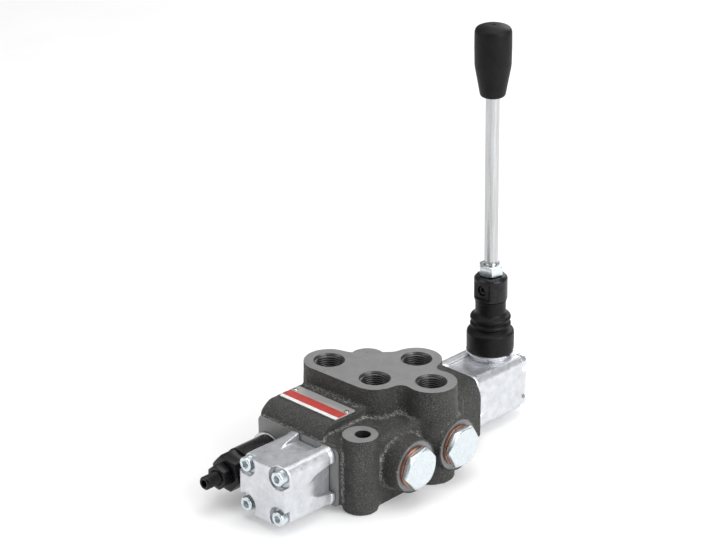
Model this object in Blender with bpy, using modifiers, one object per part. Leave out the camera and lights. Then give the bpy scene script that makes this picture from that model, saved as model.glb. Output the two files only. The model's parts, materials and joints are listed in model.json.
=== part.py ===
"""One-spool hydraulic monoblock valve with hand lever, modelled piece by piece.

Frame: origin on the machined mounting pad, under the spool axis and midway between
ports A and B.  +Y runs along the spool towards the lever, +X towards the side plugs,
+Z towards the port deck.  Lengths are metres.
"""
import math

import bmesh
import bpy
from mathutils import Matrix, Vector

GAP = 0.0003            # left between pieces that touch
SPOOL_FIT = 0.00015     # radial play of pieces that slide
LOBE_SIDES = 24         # sides of the deck lobes and the round bosses
ROUND = 16              # sides of a turned piece
SMALL = 12              # sides of a small one

# --- casting -------------------------------------------------------------------------
SPOOL_Z = 0.0215        # spool axis above the mounting pad
DECK_Z = 0.058          # machined port deck
SHELF_Z = 0.0405        # cast shelf round the deck
PLATFORM_Z = 0.0463     # raised pad that carries the identification plate
BOSS_Z = 0.045          # faces of the two mounting bosses
CORE_BOTTOM = 0.0022    # cast underside, above the machined feet
FRONT_Y = -0.067        # machined face under the spring cap
REAR_Y = 0.050          # machined face under the lever box
PLUG_X = 0.041          # spot faces of the side plugs
LEFT_X = -0.0435
RIGHT_X = 0.030

PORTS = {"P": (-0.0348, -0.0181), "A": (0.0, -0.0172), "B": (0.0, 0.0172), "T": (0.0255, 0.0016)}
LOBE_R = 0.0145
PORT_MOUTH_R = 0.0089   # 45 degree chamfer of a G3/8 port
PORT_R = 0.0075         # G3/8 thread, minor diameter
PORT_THREAD = 0.014
GALLERY_R = 0.0115
BORE_R = 0.008
GALLERIES = (-0.050, -0.0284, -0.0172, 0.0, 0.0172, 0.036)
GALLERY_W = 0.006

BOSSES = {"front": (0.0235, -0.0535), "rear": (-0.0418, 0.0207)}
BOSS_R = 0.010
BOLT_HOLE_R = 0.0045
TANK_COLUMN_R = 0.0137
PLUG_YS = {"front": -0.0284, "rear": 0.0070}
PLUG_Z = SPOOL_Z + 0.0006
PLUG_BOSS_R = 0.0155

# --- cap, lever box and their screws ---------------------------------------------------
SCREW_PITCH = 0.0122    # screw centres stand this far from the spool axis, both ways
RIDGE_R = 0.0051
HOUSING_HALF = SCREW_PITCH + RIDGE_R
FLANGE_LIP = 0.0004     # the end flanges stand out this much
CAP_FACE_Y = -0.1056
CAP_SEAT_Y = -0.1013    # screw seats in the corner recesses
SCREW_HEAD_R = 0.00425
SCREW_HEAD_H = 0.005
SCREW_R = 0.0024
SCREW_HOLE_R = 0.0027
SCREW_DEPTH = 0.012
SCREW_RECESS_R = 0.0068
BOX_SEAT_Y = 0.091
BOX_FACE_Y = 0.0945
BOX_TAIL_Y = 0.100

# --- lever --------------------------------------------------------------------------
LEVER_Y = 0.0814
PIVOT_Z = 0.044
LEVER_LEAN = math.radians(0.9)
COLLAR_Z = 0.0425       # rim that the rubber boot stands on
SPIGOT_Z = 0.0480
HUB_BOTTOM_Z = 0.0752
HUB_TOP_Z = 0.0902
HUB_R = 0.0098
HUB_FLAT = 0.0079       # milled flat on the side towards the casting
ROD_R = 0.004
ROD_TOP_Z = 0.222
KNOB_BOTTOM_Z = 0.1999
KNOB_TOP_Z = 0.2418

# --- relief valve -------------------------------------------------------------------
RELIEF_X = -0.034
RELIEF_Z = SPOOL_Z - 0.0036
RELIEF_TIP_Y = -0.1170

PARTS = "hydraulic_monoblock_valve"
CUTTERS = "cutters"


# --- scene helpers --------------------------------------------------------------------
def clear_scene():
    for obj in list(bpy.data.objects):
        bpy.data.objects.remove(obj, do_unlink=True)


def collection(name):
    found = bpy.data.collections.get(name)
    if found is None:
        found = bpy.data.collections.new(name)
        bpy.context.scene.collection.children.link(found)
    return found


def material(name, color, roughness, metallic):
    mat = bpy.data.materials.get(name)
    if mat is None:
        mat = bpy.data.materials.new(name)
        mat.use_nodes = True
        shader = mat.node_tree.nodes["Principled BSDF"]
        shader.inputs["Base Color"].default_value = (*color, 1.0)
        shader.inputs["Roughness"].default_value = roughness
        shader.inputs["Metallic"].default_value = metallic
    return mat


FINISHES = {
    "cast_iron": ((0.11, 0.105, 0.10), 0.62, 0.55),
    "die_cast": ((0.72, 0.72, 0.76), 0.30, 0.90),
    "zinc": ((0.72, 0.76, 0.78), 0.28, 0.95),
    "steel": ((0.45, 0.45, 0.46), 0.32, 1.0),
    "black_steel": ((0.016, 0.016, 0.018), 0.40, 0.60),
    "copper": ((0.62, 0.27, 0.15), 0.35, 1.0),
    "rubber": ((0.012, 0.012, 0.013), 0.55, 0.0),
    "black_plastic": ((0.010, 0.010, 0.011), 0.48, 0.0),
    "plate": ((0.75, 0.75, 0.74), 0.30, 0.8),
    "brass": ((0.70, 0.52, 0.24), 0.35, 1.0),
}


def new_object(name, mesh, finish=None):
    """Link a mesh as a sub-part, or as a hidden cutter when it has no finish."""
    obj = bpy.data.objects.new(name, mesh)
    if finish is None:
        collection(CUTTERS).objects.link(obj)
        obj.hide_render = True
        obj.display_type = "WIRE"
    else:
        collection(PARTS).objects.link(obj)
        mesh.materials.append(material(finish, *FINISHES[finish]))
    return obj


def box(name, low, high, finish=None, bevel=0.0):
    low, high = Vector(low), Vector(high)
    bm = bmesh.new()
    bmesh.ops.create_cube(bm, size=1.0)
    size = high - low
    bmesh.ops.scale(bm, vec=size, verts=bm.verts)
    bmesh.ops.translate(bm, vec=(low + high) / 2, verts=bm.verts)
    if bevel:
        bmesh.ops.bevel(bm, geom=bm.edges[:], offset=bevel, segments=1, profile=0.5, affect="EDGES")
    return finish_bmesh(bm, name, finish)


def finish_bmesh(bm, name, finish):
    mesh = bpy.data.meshes.new(name)
    bm.to_mesh(mesh)
    bm.free()
    return new_object(name, mesh, finish)


def rod(name, start, end, radius, finish=None, sides=SMALL):
    """Cylinder or prism between two points."""
    start, end = Vector(start), Vector(end)
    along = end - start
    place = Matrix.Translation((start + end) / 2) @ along.to_track_quat("Z", "Y").to_matrix().to_4x4()
    bm = bmesh.new()
    bmesh.ops.create_cone(bm, cap_ends=True, segments=sides, radius1=radius, radius2=radius,
                          depth=along.length, matrix=place)
    return finish_bmesh(bm, name, finish)


def runs_down(profile):
    """The profile in the order that goes down its outer side, which faces the mesh outwards."""
    pairs = zip(profile, profile[1:] + profile[:1])
    area = sum(r0 * z1 - r1 * z0 for (r0, z0), (r1, z1) in pairs)
    return profile if area < 0 else profile[::-1]


def turned(name, profile, place, finish=None, sides=ROUND, closed=False):
    """Turn a (radius, height) profile about local Z.

    A closed profile makes a ring.  An open one starts and ends on the axis.
    """
    profile = runs_down(profile)
    bm = bmesh.new()
    verts = [bm.verts.new((radius, 0.0, height)) for radius, height in profile]
    for first, second in zip(verts, verts[1:]):
        bm.edges.new((first, second))
    if closed:
        bm.edges.new((verts[-1], verts[0]))
    obj = finish_bmesh(bm, name, finish)
    screw = obj.modifiers.new("turn", "SCREW")
    screw.axis = "Z"
    screw.steps = sides
    screw.render_steps = sides
    screw.use_merge_vertices = True
    screw.merge_threshold = 0.00001
    obj.matrix_world = place
    return obj


def upright(x, y, z=0.0):
    return Matrix.Translation((x, y, z))


def along_y(x, z):
    """Local +Z becomes world +Y, so profile heights are world Y."""
    return Matrix.Translation((x, 0.0, z)) @ Matrix.Rotation(-math.pi / 2, 4, "X")


def along_x(y, z):
    """Local +Z becomes world +X, so profile heights are world X."""
    return Matrix.Translation((0.0, y, z)) @ Matrix.Rotation(math.pi / 2, 4, "Y")


def extruded(name, outline, low, high, axis, finish=None):
    """Closed outline made solid between two values of the given axis."""
    curve = bpy.data.curves.new(name, "CURVE")
    curve.dimensions = "2D"
    curve.fill_mode = "BOTH"
    curve.extrude = (high - low) / 2
    spline = curve.splines.new("POLY")
    spline.points.add(len(outline) - 1)
    for point, (first, second) in zip(spline.points, outline):
        point.co = (first, second, 0.0, 1.0)
    spline.use_cyclic_u = True
    obj = bpy.data.objects.new(name + "_outline", curve)
    bpy.context.scene.collection.objects.link(obj)
    middle = (low + high) / 2
    turn = {"X": ((0, 0, 1), (1, 0, 0), (0, 1, 0)), "Y": ((1, 0, 0), (0, 0, -1), (0, 1, 0)),
            "Z": ((1, 0, 0), (0, 1, 0), (0, 0, 1))}[axis]
    shift = Vector((axis == "X", axis == "Y", axis == "Z")) * middle
    obj.matrix_world = Matrix.Translation(shift) @ Matrix(turn).to_4x4()
    return curve_to_mesh(obj, name, finish)


def curve_to_mesh(obj, name, finish):
    bpy.context.view_layer.update()
    graph = bpy.context.evaluated_depsgraph_get()
    mesh = bpy.data.meshes.new_from_object(obj.evaluated_get(graph))
    mesh.name = name
    place = obj.matrix_world.copy()
    bpy.data.objects.remove(obj, do_unlink=True)
    bm = bmesh.new()
    bm.from_mesh(mesh)
    bmesh.ops.remove_doubles(bm, verts=bm.verts, dist=0.000001)
    bmesh.ops.recalc_face_normals(bm, faces=bm.faces)
    bm.to_mesh(mesh)
    bm.free()
    mesh.materials.clear()
    made = new_object(name, mesh, finish)
    made.matrix_world = place
    return made


def spring(name, start, end, radius, wire, turns, finish="steel"):
    """Compression spring: a helix between two points, sides kept few."""
    start, end = Vector(start), Vector(end)
    along = end - start
    turn_points = 8
    count = turns * turn_points + 1
    curve = bpy.data.curves.new(name, "CURVE")
    curve.dimensions = "3D"
    curve.bevel_depth = wire / 2
    curve.bevel_resolution = 1
    curve.use_fill_caps = True
    spline = curve.splines.new("POLY")
    spline.points.add(count - 1)
    for index, point in enumerate(spline.points):
        angle = 2 * math.pi * index / turn_points
        height = along.length * index / (count - 1)
        point.co = (radius * math.cos(angle), radius * math.sin(angle), height, 1.0)
    obj = bpy.data.objects.new(name + "_path", curve)
    bpy.context.scene.collection.objects.link(obj)
    turn_to = along.to_track_quat("Z", "Y").to_matrix().to_4x4()
    obj.matrix_world = Matrix.Translation(start) @ turn_to
    return curve_to_mesh(obj, name, finish)


def boolean(target, operation, *others):
    for other in others:
        mod = target.modifiers.new(other.name, "BOOLEAN")
        mod.operation = operation
        mod.solver = "EXACT"
        mod.object = other
    return target


def cut(target, *cutters):
    return boolean(target, "DIFFERENCE", *cutters)


def join(target, *others):
    return boolean(target, "UNION", *others)


def screw_corners():
    return [(sx * SCREW_PITCH, sz * SCREW_PITCH) for sz in (1, -1) for sx in (-1, 1)]


# --- valve body -------------------------------------------------------------------------
def deck_outline():
    """Polygon through the lobes' edges; the lobes themselves are added as cylinders."""
    (px, py), (ax, ay), (bx, by), (tx, ty) = (PORTS[key] for key in "PABT")
    return [(px, py - LOBE_R), (ax, ay - LOBE_R), (ax + 0.0136, ay - 0.0030), (tx - 0.0070, ty - 0.0127),
            (tx, ty), (tx - 0.0060, ty + 0.0132), (bx + 0.0135, by + 0.0030),
            (bx, by), (bx - LOBE_R, by - 0.0010), (bx - 0.0182, by - 0.0056), (px + 0.0035, py + 0.0158),
            (px, py + LOBE_R - 0.0005)]


def neck_outline():
    """Section of the rear end: flat below, well rounded above, as (across, height)."""
    half, corner, steps = 0.0207, 0.0125, 4
    top = 0.0392
    points = [(-half, CORE_BOTTOM + 0.0005), (half, CORE_BOTTOM + 0.0005)]
    for side in (1, -1):
        arc = [math.radians(90 * step / steps) for step in range(steps + 1)]
        if side < 0:
            arc.reverse()
        points += [(side * (half - corner + corner * math.cos(a)), top - corner + corner * math.sin(a))
                   for a in arc]
    return points


def casting():
    body = box("valve_body", (LEFT_X, -0.063, CORE_BOTTOM), (RIGHT_X, 0.026, SHELF_Z), "cast_iron", 0.003)
    front_pad = box("front_pad", (LEFT_X + 0.001, FRONT_Y - 0.002, CORE_BOTTOM + 0.001),
                    (0.020, -0.055, 0.0388), bevel=0.003)
    slope = [(FRONT_Y - 0.002, 0.030), (FRONT_Y - 0.002, 0.0375), (-0.0625, 0.0445), (-0.0585, PLATFORM_Z),
             (-0.020, PLATFORM_Z), (-0.020, 0.030)]
    platform = extruded("platform", slope, LEFT_X + 0.0018, 0.0054, "X")
    side_rib = box("side_rib", (0.016, -0.052, -0.002), (RIGHT_X - 0.0004, 0.004, 0.014))
    deck = extruded("deck", deck_outline(), 0.030, DECK_Z + 0.002, "Z")
    lobes = [rod("lobe_" + key, (x, y, 0.0295 + 0.0002 * index), (x, y, DECK_Z + 0.003), LOBE_R, sides=LOBE_SIDES)
             for index, (key, (x, y)) in enumerate(PORTS.items())]
    plug_bosses = [rod("plug_boss_" + key, (0.004, y, PLUG_Z), (PLUG_X, y, PLUG_Z), PLUG_BOSS_R, sides=LOBE_SIDES)
                   for key, y in PLUG_YS.items()]
    posts = [rod("post_" + key, (x, y, -0.002), (x, y, BOSS_Z), BOSS_R, sides=LOBE_SIDES)
             for key, (x, y) in BOSSES.items()]
    tank_x, tank_y = PORTS["T"]
    tank_column = rod("tank_column", (tank_x, tank_y, -0.002), (tank_x, tank_y, 0.036), TANK_COLUMN_R,
                      sides=LOBE_SIDES)
    neck = extruded("neck", neck_outline(), 0.010, REAR_Y + 0.002, "Y")
    pad = box("pad", (-0.013, -0.038, -0.002), (0.013, 0.030, 0.010))
    join(body, front_pad, platform, neck, pad, side_rib, tank_column, *plug_bosses, *posts, deck, *lobes)
    faces = [
        box("base_face", (-0.08, -0.1, -0.01), (0.08, 0.1, 0.0)),
        box("deck_face", (-0.08, -0.1, DECK_Z), (0.08, 0.1, DECK_Z + 0.01)),
        box("front_face", (-0.08, FRONT_Y - 0.01, -0.01), (0.08, FRONT_Y, 0.1)),
        box("rear_face", (-0.08, REAR_Y, -0.01), (0.08, REAR_Y + 0.01, 0.1)),
    ]
    return cut(body, *faces)


def spool_bore_profile():
    """Bore with a ring gallery at each service and a seal groove at each end, rear to front."""
    seal_grooves = ((0.0455, 0.003), (-0.0625, 0.003))
    rings = [(y, GALLERY_W, GALLERY_R) for y in GALLERIES]
    rings += [(y, width, 0.0105) for y, width in seal_grooves]
    points = [(0.0, REAR_Y + 0.005), (BORE_R + SPOOL_FIT, REAR_Y + 0.005)]
    for y, width, radius in sorted(rings, reverse=True):
        high, low = y + width / 2, y - width / 2
        points += [(BORE_R + SPOOL_FIT, high), (radius, high), (radius, low), (BORE_R + SPOOL_FIT, low)]
    points += [(BORE_R + SPOOL_FIT, FRONT_Y - 0.005), (0.0, FRONT_Y - 0.005)]
    return points


def port_cutter(key, floor):
    x, y = PORTS[key]
    chamfer = PORT_MOUTH_R - PORT_R
    thread_end = DECK_Z - PORT_THREAD
    profile = [(0.0, DECK_Z + 0.002), (PORT_MOUTH_R + 0.002, DECK_Z + 0.002), (PORT_R, DECK_Z - chamfer),
               (PORT_R, thread_end), (0.0055, thread_end - 0.002), (0.0055, floor), (0.0, floor)]
    return turned("port_" + key, profile, upright(x, y), sides=LOBE_SIDES)


def plug_cutter(key):
    """Threaded side bore with a spot face; the front one is also the load check chamber."""
    y = PLUG_YS[key]
    inner = 0.0105 if key == "front" else 0.0200
    profile = [(0.0, PLUG_X + 0.004), (0.0145, PLUG_X + 0.004), (0.0145, PLUG_X - 0.0003),
               (0.0078, PLUG_X - 0.0003), (0.0078, 0.0295), (0.0060, 0.0285), (0.0060, inner), (0.0, inner)]
    return turned("side_bore_" + key, profile, along_x(y, PLUG_Z))


def relief_cutter():
    profile = [(0.0, -0.014), (0.0056, -0.014), (0.0056, -0.044), (0.0086, -0.045),
               (0.0086, FRONT_Y - 0.004), (0.0, FRONT_Y - 0.004)]
    return turned("relief_bore", profile, along_y(RELIEF_X, RELIEF_Z))


def valve_body():
    body = casting()
    cut(body, turned("spool_bore", spool_bore_profile(), along_y(0.0, SPOOL_Z)))
    floors = {"P": RELIEF_Z, "A": SPOOL_Z + 0.0093, "B": SPOOL_Z + 0.0093, "T": SPOOL_Z}
    cut(body, *[port_cutter(key, floor) for key, floor in floors.items()])
    cut(body, *[plug_cutter(key) for key in PLUG_YS])
    cut(body, relief_cutter())
    tank_x, tank_y = PORTS["T"]
    passages = [
        rod("inlet_passage", (RELIEF_X, -0.016, RELIEF_Z), (-0.009, 0.0, SPOOL_Z), 0.0042, sides=12),
        rod("relief_passage", (RELIEF_X, -0.040, RELIEF_Z), (-0.009, GALLERIES[0], SPOOL_Z), 0.0035, sides=12),
        rod("tank_passage", (tank_x - 0.001, tank_y + 0.002, SPOOL_Z), (0.009, GALLERIES[-1], SPOOL_Z), 0.0035,
            sides=12),
    ]
    cut(body, *passages)
    hole_x, hole_y = BOSSES["front"]
    rear_x, rear_y = BOSSES["rear"]
    cut(body, rod("hole_front", (hole_x + 0.001, hole_y + 0.001, -0.01),
                  (hole_x + 0.001, hole_y + 0.001, 0.06), BOLT_HOLE_R),
        rod("hole_rear", (rear_x, rear_y, -0.01), (rear_x, rear_y, 0.06), BOLT_HOLE_R))
    for index, (x, z) in enumerate(screw_corners()):
        cut(body, rod(f"front_tap_{index}", (x, FRONT_Y - 0.002, SPOOL_Z + z),
                      (x, FRONT_Y + SCREW_DEPTH, SPOOL_Z + z), SCREW_HOLE_R, sides=12),
            rod(f"rear_tap_{index}", (x, REAR_Y + 0.002, SPOOL_Z + z),
                (x, REAR_Y - SCREW_DEPTH, SPOOL_Z + z), SCREW_HOLE_R, sides=12))


# --- identification plate ---------------------------------------------------------------
PLATE = ((-0.0392, -0.0536), (0.0048, -0.0378))
PLATE_T = 0.0008
RIVETS = ((-0.0372, -0.0428), (0.0027, -0.0428))


def id_plate():
    (x0, y0), (x1, y1) = PLATE
    bottom = PLATFORM_Z + 0.0002
    plate = box("id_plate", (x0, y0, bottom), (x1, y1, bottom + PLATE_T), "plate")
    for index, (x, y) in enumerate(RIVETS):
        hole = rod(f"rivet_hole_{index}", (x, y, PLATFORM_Z - 0.003), (x, y, 0.05), 0.0011, sides=12)
        cut(plate, hole)
        cut(bpy.data.objects["valve_body"], hole)
    head = bottom + PLATE_T + 0.0001
    profile = [(0.0, head + 0.0007), (0.0010, head + 0.0007), (0.0015, head), (0.0009, head),
               (0.0009, PLATFORM_Z - 0.0025), (0.0, PLATFORM_Z - 0.0025)]
    for index, (x, y) in enumerate(RIVETS, 1):
        turned(f"plate_rivet_{index}", profile, upright(x, y), "zinc", 12)


# --- side plugs -------------------------------------------------------------------------
HEX_22 = 0.022
WASHER_T = 0.0015
HEAD_T = 0.0040
HEX_TURN = {"front": math.radians(41.7), "rear": math.radians(29.1)}


def hexagon(name, place, low, high, across_flats, finish=None, turn=0.0):
    """Hexagonal prism between two heights of a placed axis."""
    radius = across_flats / 2 / math.cos(math.pi / 6)
    at = place @ Matrix.Translation((0.0, 0.0, (low + high) / 2)) @ Matrix.Rotation(turn, 4, "Z")
    bm = bmesh.new()
    bmesh.ops.create_cone(bm, cap_ends=True, segments=6, radius1=radius, radius2=radius,
                          depth=abs(high - low), matrix=at)
    return finish_bmesh(bm, name, finish)


def side_plug(key):
    y = PLUG_YS[key]
    seat = PLUG_X - 0.0003 + GAP
    head = seat + WASHER_T + 0.0001
    place = along_x(y, PLUG_Z)
    plug = hexagon("side_plug_" + key, place, head, head + HEAD_T, HEX_22, "zinc", HEX_TURN[key])
    join(plug, rod("plug_shank_" + key, (0.0310, y, PLUG_Z), (head + 0.002, y, PLUG_Z), 0.0073))
    face = head + HEAD_T
    round_off = [(0.020, face + 0.001), (0.020, face - 0.0045), (0.0108, face + 0.0001)]
    ring = turned("plug_chamfer_" + key, round_off, place, closed=True)
    cut(plug, ring)
    washer = [(0.0120, seat + WASHER_T), (0.0120, seat), (0.0080, seat), (0.0080, seat + WASHER_T)]
    turned("side_washer_" + key, washer, place, "copper", LOBE_SIDES, closed=True)


# --- spring cap -------------------------------------------------------------------------
def square_outline(half, corner):
    """Square round the spool axis with round corners, as (across, height)."""
    steps = 4
    points = []
    for quarter in range(4):
        x = (half - corner) * (1, -1, -1, 1)[quarter]
        z = (half - corner) * (1, 1, -1, -1)[quarter]
        for step in range(steps + 1):
            angle = math.radians(90 * (quarter + step / steps))
            points.append((x + corner * math.cos(angle), SPOOL_Z + z + corner * math.sin(angle)))
    return points


def housing_block(name, joint, face):
    """Square housing, rounded round its corner screws, with a thin flange lip at its joint."""
    lip_end = joint + math.copysign(0.0025, face - joint)
    block = extruded(name, square_outline(HOUSING_HALF, RIDGE_R), min(joint, face), max(joint, face), "Y",
                     "die_cast")
    lip = extruded(name + "_lip", square_outline(HOUSING_HALF + FLANGE_LIP, RIDGE_R), min(joint, lip_end),
                   max(joint, lip_end), "Y")
    return join(block, lip)


def side_scoops(name, start, end, depth):
    """Wedge hollows in the four sides, deepest at the flange, running out at the far end."""
    outer = HOUSING_HALF + 0.003
    cutters = []
    for sign in (1, -1):
        for axis, centre in (("X", SPOOL_Z), ("Z", 0.0)):
            levels = [(start, HOUSING_HALF - depth), (end, HOUSING_HALF + 0.0001), (end, outer), (start, outer)]
            wedge = [(y, centre + sign * level) for y, level in levels]
            middle = 0.0 if axis == "X" else SPOOL_Z
            if axis == "Z":
                wedge = [(across, y) for y, across in wedge]
            low, high = middle - SCOOP_HALF, middle + SCOOP_HALF
            cutters.append(extruded(f"{name}_{axis}_{sign}", wedge, low, high, axis))
    return cutters


def corner_cutters(name, seat, outward, far):
    """Round recess for each screw head, open at the corner, and the clearance hole under it."""
    cutters = []
    for index, (x, z) in enumerate(screw_corners()):
        centre = Vector((x, seat, SPOOL_Z + z))
        away = Vector((0.0, outward * 0.02, 0.0))
        cutters.append(rod(f"{name}_recess_{index}", centre, centre + away, SCREW_RECESS_R, sides=LOBE_SIDES))
        cutters.append(rod(f"{name}_hole_{index}", (x, far, SPOOL_Z + z), centre + away, SCREW_HOLE_R,
                           sides=12))
    return cutters


def screws(name, seat, outward):
    """Four socket head screws, one in each corner ridge."""
    joint = FRONT_Y if outward < 0 else REAR_Y
    under = seat + outward * GAP / 2
    top = under + outward * SCREW_HEAD_H
    tip = joint - outward * (SCREW_DEPTH - 0.001)
    profile = [(0.0, top), (SCREW_HEAD_R - 0.0004, top), (SCREW_HEAD_R, top - outward * 0.0004),
               (SCREW_HEAD_R, under), (SCREW_R, under), (SCREW_R, tip), (0.0, tip)]
    for index, (x, z) in enumerate(screw_corners(), 1):
        screw = turned(f"{name}_{index}", profile, along_y(x, SPOOL_Z + z), "zinc", 16)
        socket = rod(f"{name}_socket_{index}", (x, top - outward * 0.0026, SPOOL_Z + z),
                     (x, top + outward * 0.002, SPOOL_Z + z), 0.0023, sides=6)
        cut(screw, socket)


CAP_BORE_R = 0.0122
CAP_BORE_END_Y = -0.1000
SCOOP_HALF = 0.0072


def spring_cap():
    start = FRONT_Y - GAP
    cap = housing_block("spring_cap", start, CAP_FACE_Y)
    cut(cap, *side_scoops("cap_scoop", start - 0.0025, -0.0945, 0.0026))
    bore = rod("cap_bore", (0.0, start + 0.002, SPOOL_Z), (0.0, CAP_BORE_END_Y, SPOOL_Z), CAP_BORE_R, sides=ROUND)
    nose_room = rod("cap_nose_room", (0.0, start, SPOOL_Z), (0.0, CAP_FACE_Y + 0.0030, SPOOL_Z), 0.0063)
    cut(cap, bore, nose_room, *corner_cutters("cap", CAP_SEAT_Y, -1, start + 0.002))
    screws("spring_cap_screw", CAP_SEAT_Y, -1)


NOSE_R = 0.0050
CUP_HOLE_R = NOSE_R + 0.0003


def cup(name, face, inward):
    """Spring cup: flange against one end of the cap, sleeve towards the other cup."""
    flange_end = face + inward * 0.0015
    sleeve_end = face + inward * 0.0075
    ring = [(0.0115, face), (CUP_HOLE_R, face), (CUP_HOLE_R, sleeve_end), (0.0066, sleeve_end),
            (0.0066, flange_end), (0.0115, flange_end)]
    turned(name, ring, along_y(0.0, SPOOL_Z), "steel", SMALL, closed=True)


def seal_ring(name, x, z, y, half_width, inner, outer, finish="rubber"):
    middle = (inner + outer) / 2
    ring = [(middle, y + half_width), (outer, y), (middle, y - half_width), (inner, y)]
    turned(name, ring, along_y(x, z), finish, ROUND, closed=True)


def centring_pack():
    cup("inner_spring_cup", FRONT_Y - 0.0022, -1)
    cup("outer_spring_cup", CAP_BORE_END_Y + GAP, 1)
    spring("centering_spring", (0.0, FRONT_Y - 0.0052, SPOOL_Z), (0.0, CAP_BORE_END_Y + 0.0032, SPOOL_Z),
           0.0090, 0.0022, 5)
    seal_ring("front_spool_seal", 0.0, SPOOL_Z, -0.0625, 0.0013, BORE_R + SPOOL_FIT, 0.0102)
    seal_ring("rear_spool_seal", 0.0, SPOOL_Z, 0.0455, 0.0013, BORE_R + SPOOL_FIT, 0.0102)


# --- spool ------------------------------------------------------------------------------
NOSE_START_Y = -0.0610
NOSE_END_Y = -0.0880
BOLT_END_Y = -0.0948
SPOOL_REAR_Y = 0.0590


def spool():
    """Lands of full bore size with waists under the galleries, and a thin nose in the cap."""
    waist_r = 0.0058
    waists = ((0.0086, 0.0060), (-0.0086, 0.0060), (0.0268, 0.0060), (-0.0395, 0.0070))
    points = [(0.0, SPOOL_REAR_Y), (BORE_R, SPOOL_REAR_Y)]
    for y, width in sorted(waists, reverse=True):
        points += [(BORE_R, y + width / 2), (waist_r, y + width / 2 - 0.001),
                   (waist_r, y - width / 2 + 0.001), (BORE_R, y - width / 2)]
    points += [(BORE_R, NOSE_START_Y), (NOSE_R, NOSE_START_Y), (NOSE_R, NOSE_END_Y), (0.0, NOSE_END_Y)]
    piece = turned("spool", points, along_y(0.0, SPOOL_Z), "steel")
    cut(piece, rod("nose_tap", (0.0, NOSE_END_Y - 0.002, SPOOL_Z), (0.0, NOSE_END_Y + 0.015, SPOOL_Z), 0.0033),
        rod("link_tap", (0.0, SPOOL_REAR_Y + 0.002, SPOOL_Z), (0.0, SPOOL_REAR_Y - 0.012, SPOOL_Z), 0.0038))
    head = NOSE_END_Y - GAP
    bolt = [(0.0, NOSE_END_Y + 0.012), (0.0030, NOSE_END_Y + 0.012), (0.0030, head), (NOSE_R, head),
            (NOSE_R, BOLT_END_Y), (0.0, BOLT_END_Y)]
    end_bolt = turned("spool_end_bolt", bolt, along_y(0.0, SPOOL_Z), "black_steel", SMALL)
    cut(end_bolt, rod("end_bolt_socket", (0.0, BOLT_END_Y - 0.002, SPOOL_Z), (0.0, BOLT_END_Y + 0.003, SPOOL_Z),
                      0.0024, sides=6))


BALL_R = 0.0042


def spool_link():
    """Forked link screwed into the spool; the lever's ball works in its cross slot."""
    start = SPOOL_REAR_Y + GAP
    link = [(0.0, LEVER_Y + 0.0085), (0.0068, LEVER_Y + 0.0085), (0.0068, start + 0.004), (0.0050, start),
            (0.0035, start), (0.0035, start - 0.010), (0.0, start - 0.010)]
    piece = turned("spool_link", link, along_y(0.0, SPOOL_Z), "steel", SMALL)
    ball_y = LEVER_Y + (PIVOT_Z - SPOOL_Z) * math.sin(LEVER_LEAN)
    slot = box("link_slot", (-0.0046, ball_y - BALL_R - GAP, SPOOL_Z - 0.0055),
               (0.0046, ball_y + BALL_R + GAP, SPOOL_Z + 0.02))
    cut(piece, slot)


# --- lever box ----------------------------------------------------------------------------
COLLAR_R = 0.0143
SPIGOT_R = 0.0112
PIN_R = 0.0025


def lever_box():
    start = REAR_Y + GAP
    housing = housing_block("lever_box", start, BOX_FACE_Y)
    hollow = box("box_hollow", (-SCOOP_HALF, start + 0.0025, SPOOL_Z + HOUSING_HALF - 0.0008),
                 (SCOOP_HALF, BOX_SEAT_Y + 0.002, SPOOL_Z + HOUSING_HALF + 0.002))
    cut(housing, hollow)
    tail = rod("box_tail", (0.0, BOX_SEAT_Y - 0.002, SPOOL_Z), (0.0, BOX_TAIL_Y, SPOOL_Z), 0.0100, sides=ROUND)
    turret_profile = [(0.0, SPIGOT_Z), (SPIGOT_R, SPIGOT_Z), (SPIGOT_R, COLLAR_Z), (COLLAR_R, COLLAR_Z),
                      (COLLAR_R, COLLAR_Z - 0.0012), (0.0124, 0.0385), (0.0115, 0.030), (0.0, 0.030)]
    turret = turned("turret", turret_profile, upright(0.0, LEVER_Y))
    join(housing, tail, turret)
    cavity = [rod("box_bore", (0.0, start - 0.002, SPOOL_Z), (0.0, 0.0965, SPOOL_Z), 0.0092, sides=ROUND),
              rod("turret_bore", (0.0, LEVER_Y, SPOOL_Z), (0.0, LEVER_Y, 0.060), 0.0078, sides=SMALL),
              rod("pin_bore", (-0.020, LEVER_Y, PIVOT_Z), (0.020, LEVER_Y, PIVOT_Z), PIN_R + 0.0001, sides=16)]
    cut(housing, *cavity, *corner_cutters("box", BOX_SEAT_Y, 1, start - 0.002))
    screws("lever_box_screw", BOX_SEAT_Y, 1)
    rod("lever_pivot_pin", (-0.0108, LEVER_Y, PIVOT_Z), (0.0108, LEVER_Y, PIVOT_Z), PIN_R, "steel", 16)


# --- lever --------------------------------------------------------------------------------
def lever_place():
    """Lever pieces are drawn upright and lean back a little about the pivot."""
    about = Matrix.Translation((0.0, LEVER_Y, PIVOT_Z))
    return about @ Matrix.Rotation(LEVER_LEAN, 4, "X") @ about.inverted()


def lean(obj):
    obj.matrix_world = lever_place() @ obj.matrix_world
    return obj


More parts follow.
